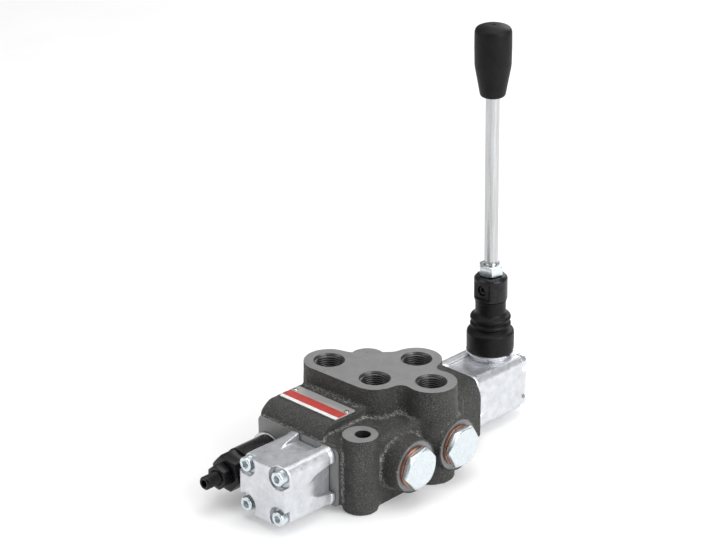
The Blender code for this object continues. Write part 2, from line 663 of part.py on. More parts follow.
def lever_hub():
    """Black steel lever body: ball, finger, eye and shank below, head with a flat above."""
    eye_r = 0.0058
    finger_r = 0.0026
    ball = [(BALL_R * math.sin(a), SPOOL_Z + BALL_R * math.cos(a))
            for a in (math.radians(t) for t in (60, 90, 120, 150))]
    profile = [(0.0, HUB_TOP_Z), (0.0078, HUB_TOP_Z), (HUB_R, HUB_TOP_Z - 0.0016), (HUB_R, HUB_BOTTOM_Z),
               (0.0072, HUB_BOTTOM_Z), (0.0072, 0.0640), (0.0052, 0.0600), (0.0052, PIVOT_Z - 0.005),
               (finger_r, PIVOT_Z - 0.009), (finger_r, SPOOL_Z + 0.0040), *ball, (0.0, SPOOL_Z - BALL_R)]
    hub = turned("lever_hub", profile, upright(0.0, LEVER_Y), "black_steel")
    ear = rod("hub_eye", (-0.0048, LEVER_Y, PIVOT_Z), (0.0048, LEVER_Y, PIVOT_Z), eye_r)
    eye_hole = rod("hub_eye_hole", (-0.02, LEVER_Y, PIVOT_Z), (0.02, LEVER_Y, PIVOT_Z), PIN_R + SPOOL_FIT,
                   sides=16)
    rod_hole = rod("hub_rod_hole", (0.0, LEVER_Y, 0.0745), (0.0, LEVER_Y, HUB_TOP_Z + 0.002),
                   ROD_R + SPOOL_FIT)
    screw_side = Vector((0.0, -1.0, 0.0))
    axis_point = Vector((0.0, LEVER_Y, 0.0820))
    screw_hole = rod("hub_screw_hole", axis_point + screw_side * 0.001, axis_point + screw_side * 0.02, 0.0031,
                     sides=16)
    flat = box("hub_flat", (-0.012, LEVER_Y - 0.013, HUB_BOTTOM_Z + 0.0016),
               (0.012, LEVER_Y - HUB_FLAT, HUB_TOP_Z - 0.0030))
    join(hub, ear)
    cut(hub, eye_hole, rod_hole, screw_hole, flat)
    for piece in (hub, ear, eye_hole, rod_hole, screw_hole, flat):
        lean(piece)
    grub = rod("hub_set_screw", axis_point + screw_side * 0.0045, axis_point + screw_side * 0.0072, 0.0029,
               "black_steel", 16)
    socket = rod("grub_socket", axis_point + screw_side * 0.0056, axis_point + screw_side * 0.0090, 0.0014,
                 sides=6)
    cut(grub, socket)
    lean(grub)
    lean(socket)


def lever_boot():
    """Rubber bellows: skirt over the spigot, two folds, neck under the hub."""
    wall = 0.0011
    outer = [(0.0090, HUB_BOTTOM_Z - GAP), (0.0090, 0.0662), (0.0120, 0.0643), (0.0120, 0.0627),
             (0.0106, 0.0614), (0.0120, 0.0601), (0.0120, 0.0586), (0.0107, 0.0573), (0.0136, 0.0552),
             (0.0140, 0.0532), (0.0140, COLLAR_Z + GAP)]
    inner = [(0.0120, COLLAR_Z + GAP), (0.0120, 0.0530)]
    inner += [(radius - wall, z - 0.0004) for radius, z in reversed(outer[1:-3])]
    inner[-1] = (0.0076, 0.0655)
    inner.append((0.0076, HUB_BOTTOM_Z - GAP))
    lean(turned("lever_boot", outer + inner, upright(0.0, LEVER_Y), "rubber", 18, closed=True))


def lever_top():
    lean(rod("lever_rod", (0.0, LEVER_Y, 0.0750), (0.0, LEVER_Y, ROD_TOP_Z), ROD_R, "steel"))
    nut_low = HUB_TOP_Z + GAP
    nut = hexagon("lever_lock_nut", upright(0.0, LEVER_Y), nut_low, nut_low + 0.0065, 0.013, "zinc",
                  math.radians(15))
    nut_hole = rod("nut_hole", (0.0, LEVER_Y, nut_low - 0.002), (0.0, LEVER_Y, nut_low + 0.01),
                   ROD_R + SPOOL_FIT)
    cut(nut, nut_hole)
    lean(nut)
    lean(nut_hole)
    insert_r = 0.0058
    knob = [(0.0, KNOB_TOP_Z), (0.0065, 0.2412), (0.0095, 0.2402), (0.0105, 0.2382), (0.0106, 0.2290),
            (0.0104, 0.2185), (0.0073, 0.2010), (0.0062, KNOB_BOTTOM_Z),
            (insert_r + 0.0001, KNOB_BOTTOM_Z), (insert_r + 0.0001, 0.2260), (0.0, 0.2260)]
    lean(turned("lever_knob", knob, upright(0.0, LEVER_Y), "black_plastic", 20))
    insert = [(insert_r, 0.2200), (insert_r, 0.2020), (ROD_R + SPOOL_FIT, 0.2020), (ROD_R + SPOOL_FIT, 0.2200)]
    lean(turned("knob_insert", insert, upright(0.0, LEVER_Y), "brass", SMALL, closed=True))


# --- relief valve ---------------------------------------------------------------------------
def relief_valve():
    place = along_y(RELIEF_X, RELIEF_Z)
    face = FRONT_Y - 0.0015 - 0.0002
    shell = [(0.0084, -0.0470), (0.0084, face), (0.0110, face), (0.0110, -0.0905), (0.0059, -0.0905),
             (0.0059, -0.0470)]
    cartridge = turned("relief_cartridge", shell, place, "black_steel", closed=True)
    hex_end = hexagon("relief_hex", place, -0.1013, -0.0900, 0.019, turn=math.radians(12))
    join(cartridge, hex_end)
    inside = [(0.0, -0.0460), (0.0059, -0.0460), (0.0059, -0.0955), (0.0041, -0.0955), (0.0041, -0.1030),
              (0.0, -0.1030)]
    cut(cartridge, turned("relief_inside", inside, place))
    washer = [(0.0125, FRONT_Y - 0.0002), (0.0089, FRONT_Y - 0.0002), (0.0089, FRONT_Y - 0.0015),
              (0.0125, FRONT_Y - 0.0015)]
    turned("relief_seal_washer", washer, place, "steel", ROUND, closed=True)
    seat = [(0.0053, -0.0400), (0.0030, -0.0400), (0.0030, -0.0445), (0.0053, -0.0445)]
    turned("relief_seat", seat, place, "steel", SMALL, closed=True)
    poppet = [(0.0, -0.0424), (0.0010, -0.0426), (0.0028, -0.0449), (0.0044, -0.0485), (0.0044, -0.0570),
              (0.0022, -0.0570), (0.0022, -0.0610), (0.0, -0.0610)]
    turned("relief_poppet", poppet, place, "steel", SMALL)
    spring("relief_spring", (RELIEF_X, -0.0585, RELIEF_Z), (RELIEF_X, -0.0795, RELIEF_Z), 0.0040, 0.0016, 5)
    guide = [(0.0, -0.0770), (0.0022, -0.0770), (0.0022, -0.0810), (0.0054, -0.0810), (0.0054, -0.0850),
             (0.0, -0.0850)]
    turned("relief_spring_seat", guide, place, "steel", SMALL)
    screw = [(0.0, -0.0853), (0.0030, -0.0853), (0.0030, -0.0875), (0.0039, -0.0885), (0.0039, RELIEF_TIP_Y + 0.0008),
             (0.0032, RELIEF_TIP_Y), (0.0, RELIEF_TIP_Y)]
    adjuster = turned("relief_adjuster", screw, place, "black_steel", SMALL)
    cut(adjuster, rod("adjuster_socket", (RELIEF_X, RELIEF_TIP_Y - 0.002, RELIEF_Z),
                      (RELIEF_X, RELIEF_TIP_Y + 0.004, RELIEF_Z), 0.0023, sides=6))
    nut = hexagon("relief_lock_nut", place, -0.1078, -0.1016, 0.013, "black_steel", math.radians(20))
    cut(nut, rod("relief_nut_hole", (RELIEF_X, -0.10, RELIEF_Z), (RELIEF_X, -0.11, RELIEF_Z), 0.0041))


# --- load check -----------------------------------------------------------------------------
def load_check():
    place = along_x(PLUG_YS["front"], PLUG_Z)
    poppet = [(0.0, 0.0225), (0.0030, 0.0225), (0.0030, 0.0190), (0.0055, 0.0190), (0.0055, 0.0140),
              (0.0030, 0.0112), (0.0, 0.0112)]
    turned("load_check_poppet", poppet, place, "steel", SMALL)
    y = PLUG_YS["front"]
    spring("load_check_spring", (0.0200, y, PLUG_Z), (0.0300, y, PLUG_Z), 0.0042, 0.0010, 4)


def build():
    clear_scene()
    valve_body()
    id_plate()
    for key in PLUG_YS:
        side_plug(key)
    spring_cap()
    centring_pack()
    spool()
    spool_link()
    lever_box()
    lever_hub()
    lever_boot()
    lever_top()
    relief_valve()
    load_check()
    for obj in collection(PARTS).objects:
        obj.data.shade_smooth()
        obj.data.set_sharp_from_angle(angle=math.radians(35))


build()
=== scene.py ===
"""Looks of a one-spool hydraulic monoblock valve with a hand lever.

The casting and the two die castings are distance fields in millimetres, contoured into
meshes with crisp machined edges.  Turned and hexagonal pieces are lofted from rings.
Axes are the row frame's: +Y along the spool to the lever, +X to the side plugs, +Z up.
"""

import json
import math

import bpy
import numpy as np
from mathutils import Matrix, Vector


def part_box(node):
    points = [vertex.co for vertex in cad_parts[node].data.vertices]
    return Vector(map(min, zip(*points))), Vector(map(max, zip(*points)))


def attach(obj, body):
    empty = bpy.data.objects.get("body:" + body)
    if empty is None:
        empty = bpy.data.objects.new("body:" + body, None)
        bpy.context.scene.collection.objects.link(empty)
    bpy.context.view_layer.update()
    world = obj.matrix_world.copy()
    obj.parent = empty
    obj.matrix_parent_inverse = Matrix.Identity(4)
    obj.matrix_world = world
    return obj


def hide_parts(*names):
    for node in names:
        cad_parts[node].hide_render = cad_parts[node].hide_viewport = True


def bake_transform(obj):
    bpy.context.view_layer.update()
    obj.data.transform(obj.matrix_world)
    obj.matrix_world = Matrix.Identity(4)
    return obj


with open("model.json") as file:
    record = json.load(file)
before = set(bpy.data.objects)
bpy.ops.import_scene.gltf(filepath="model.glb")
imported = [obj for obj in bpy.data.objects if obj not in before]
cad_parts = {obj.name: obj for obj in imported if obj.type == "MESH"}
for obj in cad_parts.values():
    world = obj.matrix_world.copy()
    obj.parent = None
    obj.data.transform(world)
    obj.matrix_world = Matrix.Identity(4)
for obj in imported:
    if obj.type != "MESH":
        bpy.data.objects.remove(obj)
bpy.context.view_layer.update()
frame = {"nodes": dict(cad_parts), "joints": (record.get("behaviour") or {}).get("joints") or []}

MM = 0.001
TURN = 2 * math.pi
SIDES = 96  # points round a turned piece, unless its call says otherwise


def node_box(name):
    """Lowest and highest corner of a CAD node, in millimetres."""
    low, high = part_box(name)
    return np.array(low) / MM, np.array(high) / MM


# --- places read from the frame ---
BODY_LOW, BODY_HIGH = node_box("valve_body")
DECK_Z = BODY_HIGH[2]
FRONT_Y, REAR_Y = BODY_LOW[1], BODY_HIGH[1]
SPOOL_Z = (node_box("spool")[0][2] + node_box("spool")[1][2]) / 2
RELIEF_X, _, RELIEF_Z = sum(node_box("relief_cartridge")) / 2
LEVER_Y = frame["joints"][0]["pos_m"][1] / MM
PIVOT_Z = frame["joints"][0]["pos_m"][2] / MM
PLUG_X = 41.0
PLUG_Z = SPOOL_Z + 0.6
PLUG_YS = {key: (sum(node_box("side_plug_" + key)) / 2)[1] for key in ("front", "rear")}
LEVER_LEAN = math.radians(0.9)

SHELF_Z = 40.5
PLATFORM_Z = 46.3
BOSS_Z = 45.0
UNDERSIDE_Z = 2.2
PORTS = {"p": (-34.8, -18.1), "a": (0.0, -17.2), "b": (0.0, 17.2), "t": (25.5, 1.6)}
LOBE_R = 14.5
PORT_MOUTH_R = 8.9
PORT_R = 7.5
PORT_THREAD_R = 8.35
PORT_DEPTH = 14.0
PORT_SIDES = 72
BOSSES = {"front": (23.5, -53.5), "rear": (-41.8, 20.7)}
BOLT_HOLES = {"front": (24.5, -52.5), "rear": (-41.8, 20.7)}
BOSS_R = 10.0
BOLT_HOLE_R = 4.5
SPOOL_BORE_R = 8.25
SEAL_GROOVE_R = 10.6
G38_PITCH = 1.337
HEX_TURN = {"front": 41.7, "rear": 29.1}

SCREW_PITCH = 12.2  # half the square of the housing screws
SCREW_CORNERS = [(x, z) for z in (SCREW_PITCH, -SCREW_PITCH) for x in (-SCREW_PITCH, SCREW_PITCH)]
SCREW_HEAD_R = 4.22
SCREW_HEAD_H = 5.0
SCREW_SOCKET = 4.0
SCREW_SHANK_R = 2.4
SCREW_HOLE_R = 2.7
SCREW_REACH = 12.0
SCREW_RECESS_R = 6.8
RIDGE_R = 5.1
HOUSING_HALF = SCREW_PITCH + RIDGE_R
FLANGE_T = 2.5
FLANGE_LIP = 0.4
CAP_FACE_Y = node_box("spring_cap")[0][1]
CAP_JOINT_Y = node_box("spring_cap")[1][1]
CAP_SEAT_Y = -101.3
BOX_JOINT_Y = node_box("lever_box")[0][1]
BOX_TAIL_Y = node_box("lever_box")[1][1]
BOX_SEAT_Y = 91.0
BOX_FACE_Y = 94.5

HUB_BOTTOM_Z = 75.2
HUB_TOP_Z = 90.2
HUB_R = 9.8
HUB_FLAT = 7.9
SET_SCREW_Z = 82.0
SET_SCREW_HOLE_R = 3.1
PIN_HOLE_R = 2.65
M8_PITCH = 1.25
SET_SCREW_SIDE = Vector((0.0, -1.0, 0.0))
COLLAR_Z = 42.5
BODY_STEP = 0.7         # grid of the casting's mesh
HOUSING_STEP = 0.5      # grid of the two die castings


# --- distance fields (millimetres; negative inside) ---
def smooth_min(a, b, blend):
    """Union of two fields with a fillet of about that size."""
    mix = np.clip(0.5 + 0.5 * (b - a) / blend, 0.0, 1.0)
    return b + (a - b) * mix - blend * mix * (1.0 - mix)


def smooth_max(a, b, blend):
    return -smooth_min(-a, -b, blend)


def unite(fields, blend):
    total = fields[0]
    for field in fields[1:]:
        total = smooth_min(total, field, blend)
    return total


def round_field(p, centre, radius):
    """Distance in plan to a circle."""
    return np.hypot(p[0] - centre[0], p[1] - centre[1]) - radius


def corner_distance(first, second, radius):
    """Joins two slab distances into a section with a rounded corner."""
    a, b = first + radius, second + radius
    return np.hypot(np.maximum(a, 0.0), np.maximum(b, 0.0)) + np.minimum(np.maximum(a, b), 0.0) - radius


def box_field(p, low, high, radius):
    sides = [np.abs(axis - (lo + hi) / 2) - (hi - lo) / 2 + radius for axis, lo, hi in zip(p, low, high)]
    outside = np.sqrt(sum(np.maximum(side, 0.0) ** 2 for side in sides))
    inside = np.minimum(np.maximum(np.maximum(sides[0], sides[1]), sides[2]), 0.0)
    return outside + inside - radius


def post_field(p, axis, centre, radius, low, high, corner=0.5, draft=0.0):
    """Round post along an axis; draft widens it away from its high end."""
    first, second = [a for a in range(3) if a != axis]
    radial = np.hypot(p[first] - centre[0], p[second] - centre[1]) - radius - draft * (high - p[axis])
    ends = np.maximum(low - p[axis], p[axis] - high)
    return corner_distance(radial, ends, corner)


def wall_field(p, start, end, half):
    """Distance in plan to a wall of that half width between two points."""
    dx, dy = end[0] - start[0], end[1] - start[1]
    x, y = p[0] - start[0], p[1] - start[1]
    along = np.clip((x * dx + y * dy) / (dx * dx + dy * dy), 0.0, 1.0)
    return np.hypot(x - along * dx, y - along * dy) - half


def ripple(p, size, depth, seed):
    """Gentle unevenness of a cast skin: a few crossed waves of random direction."""
    rng = np.random.default_rng(seed)
    total = 0.0
    waves = 7
    for _ in range(waves):
        direction = rng.normal(size=3)
        direction *= TURN / size * rng.uniform(0.6, 1.5) / np.linalg.norm(direction)
        phase = rng.uniform(0.0, TURN)
        total = total + np.sin(p[0] * direction[0] + p[1] * direction[1] + p[2] * direction[2] + phase)
    return total * depth / math.sqrt(waves)


# --- contouring ---
def gradient(field, points, reach=0.01):
    slopes = []
    for axis in range(3):
        shift = np.zeros(3)
        shift[axis] = reach
        slopes.append((field((points + shift).T) - field((points - shift).T)) / (2 * reach))
    return np.stack(slopes, axis=1)


def pull_onto(points, fields):
    """Moves points onto the zero set of one field, or of two where a cut edge runs."""
    start = points.copy()
    for _ in range(4):
        values = np.stack([field(points.T) for field in fields], axis=1)
        slopes = np.stack([gradient(field, points) for field in fields], axis=1)
        square = slopes @ slopes.transpose(0, 2, 1) + 1e-4 * np.eye(len(fields))
        steps = np.linalg.solve(square, values[..., None])[..., 0]
        points = points - np.einsum("nij,ni->nj", slopes, steps)
    strayed = np.linalg.norm(points - start, axis=1) > 1.2
    points[strayed] = start[strayed]
    return points


def contour(name, fields, low, high, step):
    """Mesh of the space where every field is negative.

    The fields' meeting lines become crisp edges.  Each face remembers which field made it.
    """
    axes = [np.arange(lo - 2 * step, hi + 3 * step, step) for lo, hi in zip(low, high)]
    grid = (axes[0][:, None, None], axes[1][None, :, None], axes[2][None, None, :])
    value = np.full([len(axis) for axis in axes], -1e9)
    for field in fields:
        value = np.maximum(value, field(grid))
    inside = value < 0
    shape = np.array(value.shape)
    origin = np.array([axis[0] for axis in axes])
    cells, crossings, flips = [], [], []
    for axis in range(3):
        first = [slice(None)] * 3
        second = [slice(None)] * 3
        first[axis] = slice(0, -1)
        second[axis] = slice(1, None)
        changes = inside[tuple(first)] != inside[tuple(second)]
        index = np.argwhere(changes)
        a = value[tuple(first)][changes]
        b = value[tuple(second)][changes]
        start = origin + index * step
        cut = np.clip(a / (a - b), 0.0, 1.0)
        for _ in range(2):
            points = start.copy()
            points[:, axis] += cut * step
            here = np.max([field(points.T) for field in fields], axis=0)
            same = (here < 0) == (a < 0)
            slope_end = np.where(same, b, a)
            gap = np.where(same, 1.0, 0.0) - cut
            denominator = here - slope_end
            move = np.where(np.abs(denominator) > 1e-9, here / denominator, 0.0) * gap
            cut = np.clip(cut + move, 0.0, 1.0)
        points = start.copy()
        points[:, axis] += cut * step
        around = []
        u, v = [(axis + 1) % 3, (axis + 2) % 3]
        for du, dv in ((-1, -1), (0, -1), (0, 0), (-1, 0)):
            cell = index.copy()
            cell[:, u] += du
            cell[:, v] += dv
            around.append(np.ravel_multi_index(cell.T, shape))
        cells.append(np.stack(around, axis=1))
        crossings.append(points)
        flips.append(a > 0)
    cells, points, flips = np.concatenate(cells), np.concatenate(crossings), np.concatenate(flips)
    label = np.argmax([field(points.T) for field in fields], axis=0)
    used, quads = np.unique(cells, return_inverse=True)
    quads = quads.reshape(cells.shape)
    flat = quads.ravel()
    count = np.bincount(flat)
    sums = [np.bincount(flat, np.repeat(points[:, axis], 4)) for axis in range(3)]
    spots = np.stack([total / count for total in sums], axis=1)
    lowest = np.full(len(used), len(fields))
    highest = np.zeros(len(used), int)
    np.minimum.at(lowest, flat, np.repeat(label, 4))
    np.maximum.at(highest, flat, np.repeat(label, 4))
    for pair in np.unique(np.stack([lowest, highest], axis=1), axis=0):
        chosen = (lowest == pair[0]) & (highest == pair[1])
        makers = [fields[index] for index in sorted(set(pair))]
        spots[chosen] = pull_onto(spots[chosen], makers)
    quads[flips] = quads[flips][:, ::-1]
    return make_mesh(name, spots * MM, quads.tolist()), label


def add_object(name, data):
    obj = bpy.data.objects.new(name, data)
    bpy.context.scene.collection.objects.link(obj)
    return obj


def make_mesh(name, points, faces, angle=32.0):
    mesh = bpy.data.meshes.new(name)
    mesh.from_pydata([tuple(point) for point in points], [], faces)
    mesh.validate()
    mesh.update()
    mesh.shade_smooth()
    mesh.set_sharp_from_angle(angle=math.radians(angle))
    return add_object(name, mesh)


# --- lofted rings ---
def upright(x, y):
    return Matrix.Translation((x * MM, y * MM, 0.0))


def along_x(y, z):
    """Local +Z becomes world +X, so ring heights are world X."""
    return Matrix.Translation((0.0, y * MM, z * MM)) @ Matrix.Rotation(math.pi / 2, 4, "Y")


def aim(point, direction):
    """Local +Z points along the direction, with heights counted from the point."""
    turn = Vector(direction).to_track_quat("Z", "Y").to_matrix().to_4x4()
    return Matrix.Translation(Vector(point) * MM) @ turn


def leaning():
    """The lever's small backward lean about its pivot."""
    about = Matrix.Translation((0.0, LEVER_Y * MM, PIVOT_Z * MM))
    return about @ Matrix.Rotation(LEVER_LEAN, 4, "X") @ about.inverted()


def angles(sides):
    return np.arange(sides) * TURN / sides


def loft(name, rings, place, sides=SIDES, closed=False, angle=32.0):
    """Skin through rings of (radius, height); either may vary round the ring.

    Rings run so that the skin faces out when they go down the outer side.  A radius of
    zero is a pole, and an open row without poles is capped.
    """
    turn = angles(sides)
    points, faces, rows = [], [], []
    for radius, height in rings:
        if np.ndim(radius) == 0 and radius == 0:
            rows.append([len(points)])
            points.append((0.0, 0.0, float(np.mean(height))))
            continue
        radius = np.broadcast_to(radius, sides)
        height = np.broadcast_to(height, sides)
        rows.append(list(range(len(points), len(points) + sides)))
        points += list(zip(radius * np.cos(turn), radius * np.sin(turn), height))
    if closed:
        rows.append(rows[0])
    for upper, lower in zip(rows, rows[1:]):
        for here in range(sides):
            there = (here + 1) % sides
            corners = [upper[here % len(upper)], lower[here % len(lower)], lower[there % len(lower)],
                       upper[there % len(upper)]]
            faces.append(tuple(dict.fromkeys(corners)))
    if not closed:
        if len(rows[0]) > 1:
            faces.append(tuple(rows[0]))
        if len(rows[-1]) > 1:
            faces.append(tuple(reversed(rows[-1])))
    placed = np.array([place @ (Vector(point) * MM) for point in points])
    return make_mesh(name, placed, faces, angle)


def softened(profile, radius):
    """Closed profile with each corner rounded, as far as its neighbours leave room."""
    points = [np.array(point, float) for point in profile]
    result = []
    for index, point in enumerate(points):
        back, forth = points[index - 1] - point, points[(index + 1) % len(points)] - point
        room = min(radius, np.linalg.norm(back) * 0.45, np.linalg.norm(forth) * 0.45)
        start = point + back / np.linalg.norm(back) * room
        end = point + forth / np.linalg.norm(forth) * room
        for t in (0.0, 1 / 3, 2 / 3, 1.0):
            spot = (1 - t) ** 2 * start + 2 * t * (1 - t) * point + t ** 2 * end
            result.append((float(spot[0]), float(spot[1])))
    return result


def flats(across, sides=SIDES, turn=0.0):
    """Radius round a hexagon of that width across its flats."""
    sector = TURN / 6
    off = (angles(sides) - turn + sector / 2) % sector - sector / 2
    return across / 2 / np.cos(sector / 2 - np.abs(off))


def thread(outer, depth, pitch, low, high, sides=SIDES, fade=1.0):
    """Rings down a helical thread of that outer radius; it fades out at both ends."""
    levels = int((high - low) / pitch * 8)
    rings = []
    for level in range(levels + 1):
        height = high - (high - low) * level / levels
        phase = (height / pitch - angles(sides) / TURN) % 1.0
        groove = 0.5 - 0.5 * np.cos(TURN * phase)
        ends = np.clip(min(high - height, height - low) / (pitch * fade), 0.0, 1.0)
        rings.append((outer - depth * groove ** 0.8 * ends, height))
    return rings


# --- materials ---
class Finish:
    """A Principled material whose colour, roughness and bump come from procedural nodes."""

    def __init__(self, name, metallic=0.0, specular=0.5):
        self.material = bpy.data.materials.new(name)
        self.material.use_nodes = True
        tree = self.material.node_tree
        self.new, self.link = tree.nodes.new, tree.links.new
        self.shader = tree.nodes["Principled BSDF"]
        self.shader.inputs["Metallic"].default_value = metallic
        self.shader.inputs["Specular IOR Level"].default_value = specular
        self.place = self.new("ShaderNodeTexCoord").outputs["Object"]

    def stretched(self, scale):
        mapping = self.new("ShaderNodeMapping")
        mapping.inputs["Scale"].default_value = scale
        self.link(self.place, mapping.inputs["Vector"])
        return mapping.outputs["Vector"]

    def noise(self, size, detail=3.0, roughness=0.55, stretch=None):
        """Noise whose lumps are about that many millimetres."""
        node = self.new("ShaderNodeTexNoise")
        node.inputs["Scale"].default_value = 1.0 / (size * MM)
        node.inputs["Detail"].default_value = detail
        node.inputs["Roughness"].default_value = roughness
        source = self.stretched(stretch) if stretch else self.place
        self.link(source, node.inputs["Vector"])
        return node.outputs["Fac"]

    def cells(self, size):
        node = self.new("ShaderNodeTexVoronoi")
        node.inputs["Scale"].default_value = 1.0 / (size * MM)
        self.link(self.place, node.inputs["Vector"])
        return node.outputs["Distance"]

    def curvature(self):
        """Below a half in hollow corners, above it on outer edges."""
        return self.new("ShaderNodeNewGeometry").outputs["Pointiness"]

    def times(self, source, amount):
        node = self.new("ShaderNodeMath")
        node.operation = "MULTIPLY"
        node.inputs[1].default_value = amount
        self.link(source, node.inputs[0])
        return node.outputs["Value"]

    def ramp(self, source, stops):
        node = self.new("ShaderNodeValToRGB")
        ramp = node.color_ramp
        ramp.elements[0].position, ramp.elements[0].color = stops[0][0], (*stops[0][1], 1.0)
        ramp.elements[1].position, ramp.elements[1].color = stops[-1][0], (*stops[-1][1], 1.0)
        for position, color in stops[1:-1]:
            ramp.elements.new(position).color = (*color, 1.0)
        self.link(source, node.inputs["Fac"])
        return node.outputs["Color"]

    def shades(self, source, low, high):
        return self.ramp(source, [(0.3, low), (0.7, high)])

    def mix(self, factor, first, second):
        node = self.new("ShaderNodeMix")
        node.data_type = "RGBA"
        sockets = [s for s in node.inputs if s.type == "RGBA"]
        if isinstance(factor, float):
            node.inputs["Factor"].default_value = factor
        else:
            self.link(factor, node.inputs["Factor"])
        self.link(first, sockets[0])
        self.link(second, sockets[1])
        return [s for s in node.outputs if s.type == "RGBA"][0]

    def spread(self, source, low, high, start=0.3, end=0.7):
        node = self.new("ShaderNodeMapRange")
        for key, value in (("From Min", start), ("From Max", end), ("To Min", low), ("To Max", high)):
            node.inputs[key].default_value = value
        self.link(source, node.inputs["Value"])
        return node.outputs["Result"]

    def color(self, source):
        self.link(source, self.shader.inputs["Base Color"])

    def roughness(self, source, low, high):
        self.link(self.spread(source, low, high), self.shader.inputs["Roughness"])

    def bump(self, source, height, strength=1.0):
        """Bump of that height in millimetres; a second call adds to the first."""
        node = self.new("ShaderNodeBump")
        node.inputs["Strength"].default_value = strength
        node.inputs["Distance"].default_value = height * MM
        self.link(source, node.inputs["Height"])
        normal = self.shader.inputs["Normal"]
        if normal.is_linked:
            self.link(normal.links[0].from_socket, node.inputs["Normal"])
        self.link(node.outputs["Normal"], normal)


def grey(value, tint=(1.0, 1.0, 1.0)):
    return tuple(value * part for part in tint)


def cast_iron():
    """Sand cast skin: dark and grainy, with a painted highlight of pale grains in the hollow corners."""
    warm = (1.0, 0.985, 0.955)
    f = Finish("cast_iron_skin", metallic=0.2, specular=0.35)
    broad = f.ramp(f.noise(9.0, 4.0), [(0.35, grey(0.040, warm)), (0.65, grey(0.068, warm))])
    grain = f.ramp(f.noise(0.6, 4.0, 0.75), [(0.38, grey(0.012, warm)), (0.52, grey(0.048, warm)),
                                             (0.66, grey(0.24, warm))])
    skin = f.mix(0.6, broad, grain)
    # painted highlight: the curvature mask below mixes pale grains into the hollow corners
    fillet_highlight = f.ramp(f.noise(0.6, 3.0, 0.7), [(0.46, grey(0.07, warm)), (0.58, grey(0.75, warm))])
    hollow = f.spread(f.curvature(), 1.0, 0.0, 0.455, 0.492)
    f.color(f.mix(f.times(hollow, 0.75), skin, fillet_highlight))
    f.roughness(f.noise(1.2, 3.0), 0.44, 0.66)
    f.bump(f.noise(0.7, 4.0, 0.7), 0.75, 1.0)
    f.bump(f.cells(1.2), 0.12, 0.6)
    return f.material


def machined_iron():
    f = Finish("machined_iron", metallic=0.55, specular=0.5)
    cloud = f.shades(f.noise(7.0, 4.0), grey(0.225), grey(0.285))
    grain = f.shades(f.noise(0.35, 3.0, 0.7), grey(0.20), grey(0.31))
    f.color(f.mix(0.35, cloud, grain))
    f.roughness(f.noise(2.0, 4.0), 0.42, 0.56)
    f.bump(f.noise(0.30, 2.0, 0.6, (1.0, 0.12, 1.0)), 0.015, 0.6)
    return f.material


def die_cast():
    """Bright casting, with shade painted into its hollow corners."""
    f = Finish("die_cast_aluminium", metallic=0.82, specular=0.5)
    skin = f.shades(f.noise(6.0, 5.0, 0.6), (0.57, 0.585, 0.61), (0.74, 0.755, 0.785))
    # painted shade: the curvature mask mixes a dark colour into the hollow corners
    hollow = f.spread(f.curvature(), 1.0, 0.0, 0.43, 0.49)
    corner_shade = f.shades(f.noise(1.0, 3.0), grey(0.10), grey(0.22))
    f.color(f.mix(f.times(hollow, 0.8), skin, corner_shade))
    f.roughness(f.noise(2.5, 5.0, 0.6), 0.26, 0.42)
    f.bump(f.noise(2.2, 4.0, 0.6), 0.06, 0.6)
    f.bump(f.noise(0.35, 3.0, 0.6), 0.012, 0.7)
    return f.material


def knob_plastic():
    f = Finish("knob_plastic", specular=0.17)
    f.color(f.shades(f.noise(5.0, 3.0), grey(0.0045), (0.008, 0.008, 0.0092)))
    f.roughness(f.noise(1.0, 3.0), 0.42, 0.54)
    f.bump(f.cells(0.55), 0.02, 0.55)
    return f.material


def copper():
    f = Finish("copper_washer", metallic=1.0)
    f.color(f.ramp(f.noise(1.6, 4.0), [(0.25, (0.26, 0.12, 0.085)), (0.75, (0.62, 0.36, 0.27))]))
    f.roughness(f.noise(0.8, 3.0), 0.24, 0.42)
    f.bump(f.noise(0.35, 3.0), 0.012)
    return f.material


def floor_paint():
    f = Finish("studio_floor", specular=0.2)
    f.color(f.shades(f.noise(60.0, 2.0), grey(0.70), grey(0.72)))
    f.roughness(f.noise(20.0, 2.0), 0.75, 0.85)
    f.shader.inputs["Emission Color"].default_value = (1.0, 1.0, 1.0, 1.0)
    f.shader.inputs["Emission Strength"].default_value = 0.22
    return f.material


def surface(name, metallic, specular, tone, sheen, relief):
    """Finish of three noises; each group is a noise and the values it drives."""
    f = Finish(name, metallic, specular)
    f.color(f.shades(f.noise(*tone[0]), *tone[1:]))
    f.roughness(f.noise(*sheen[0]), *sheen[1:])
    f.bump(f.noise(*relief[0]), *relief[1:])
    return f.material


def plate_print(name, low, high):
    tone, sheen = ((2.0, 4.0), low, high), ((1.0, 3.0), 0.30, 0.44)
    return surface(name, 0.0, 0.5, tone, sheen, ((0.5, 2.0), 0.006))


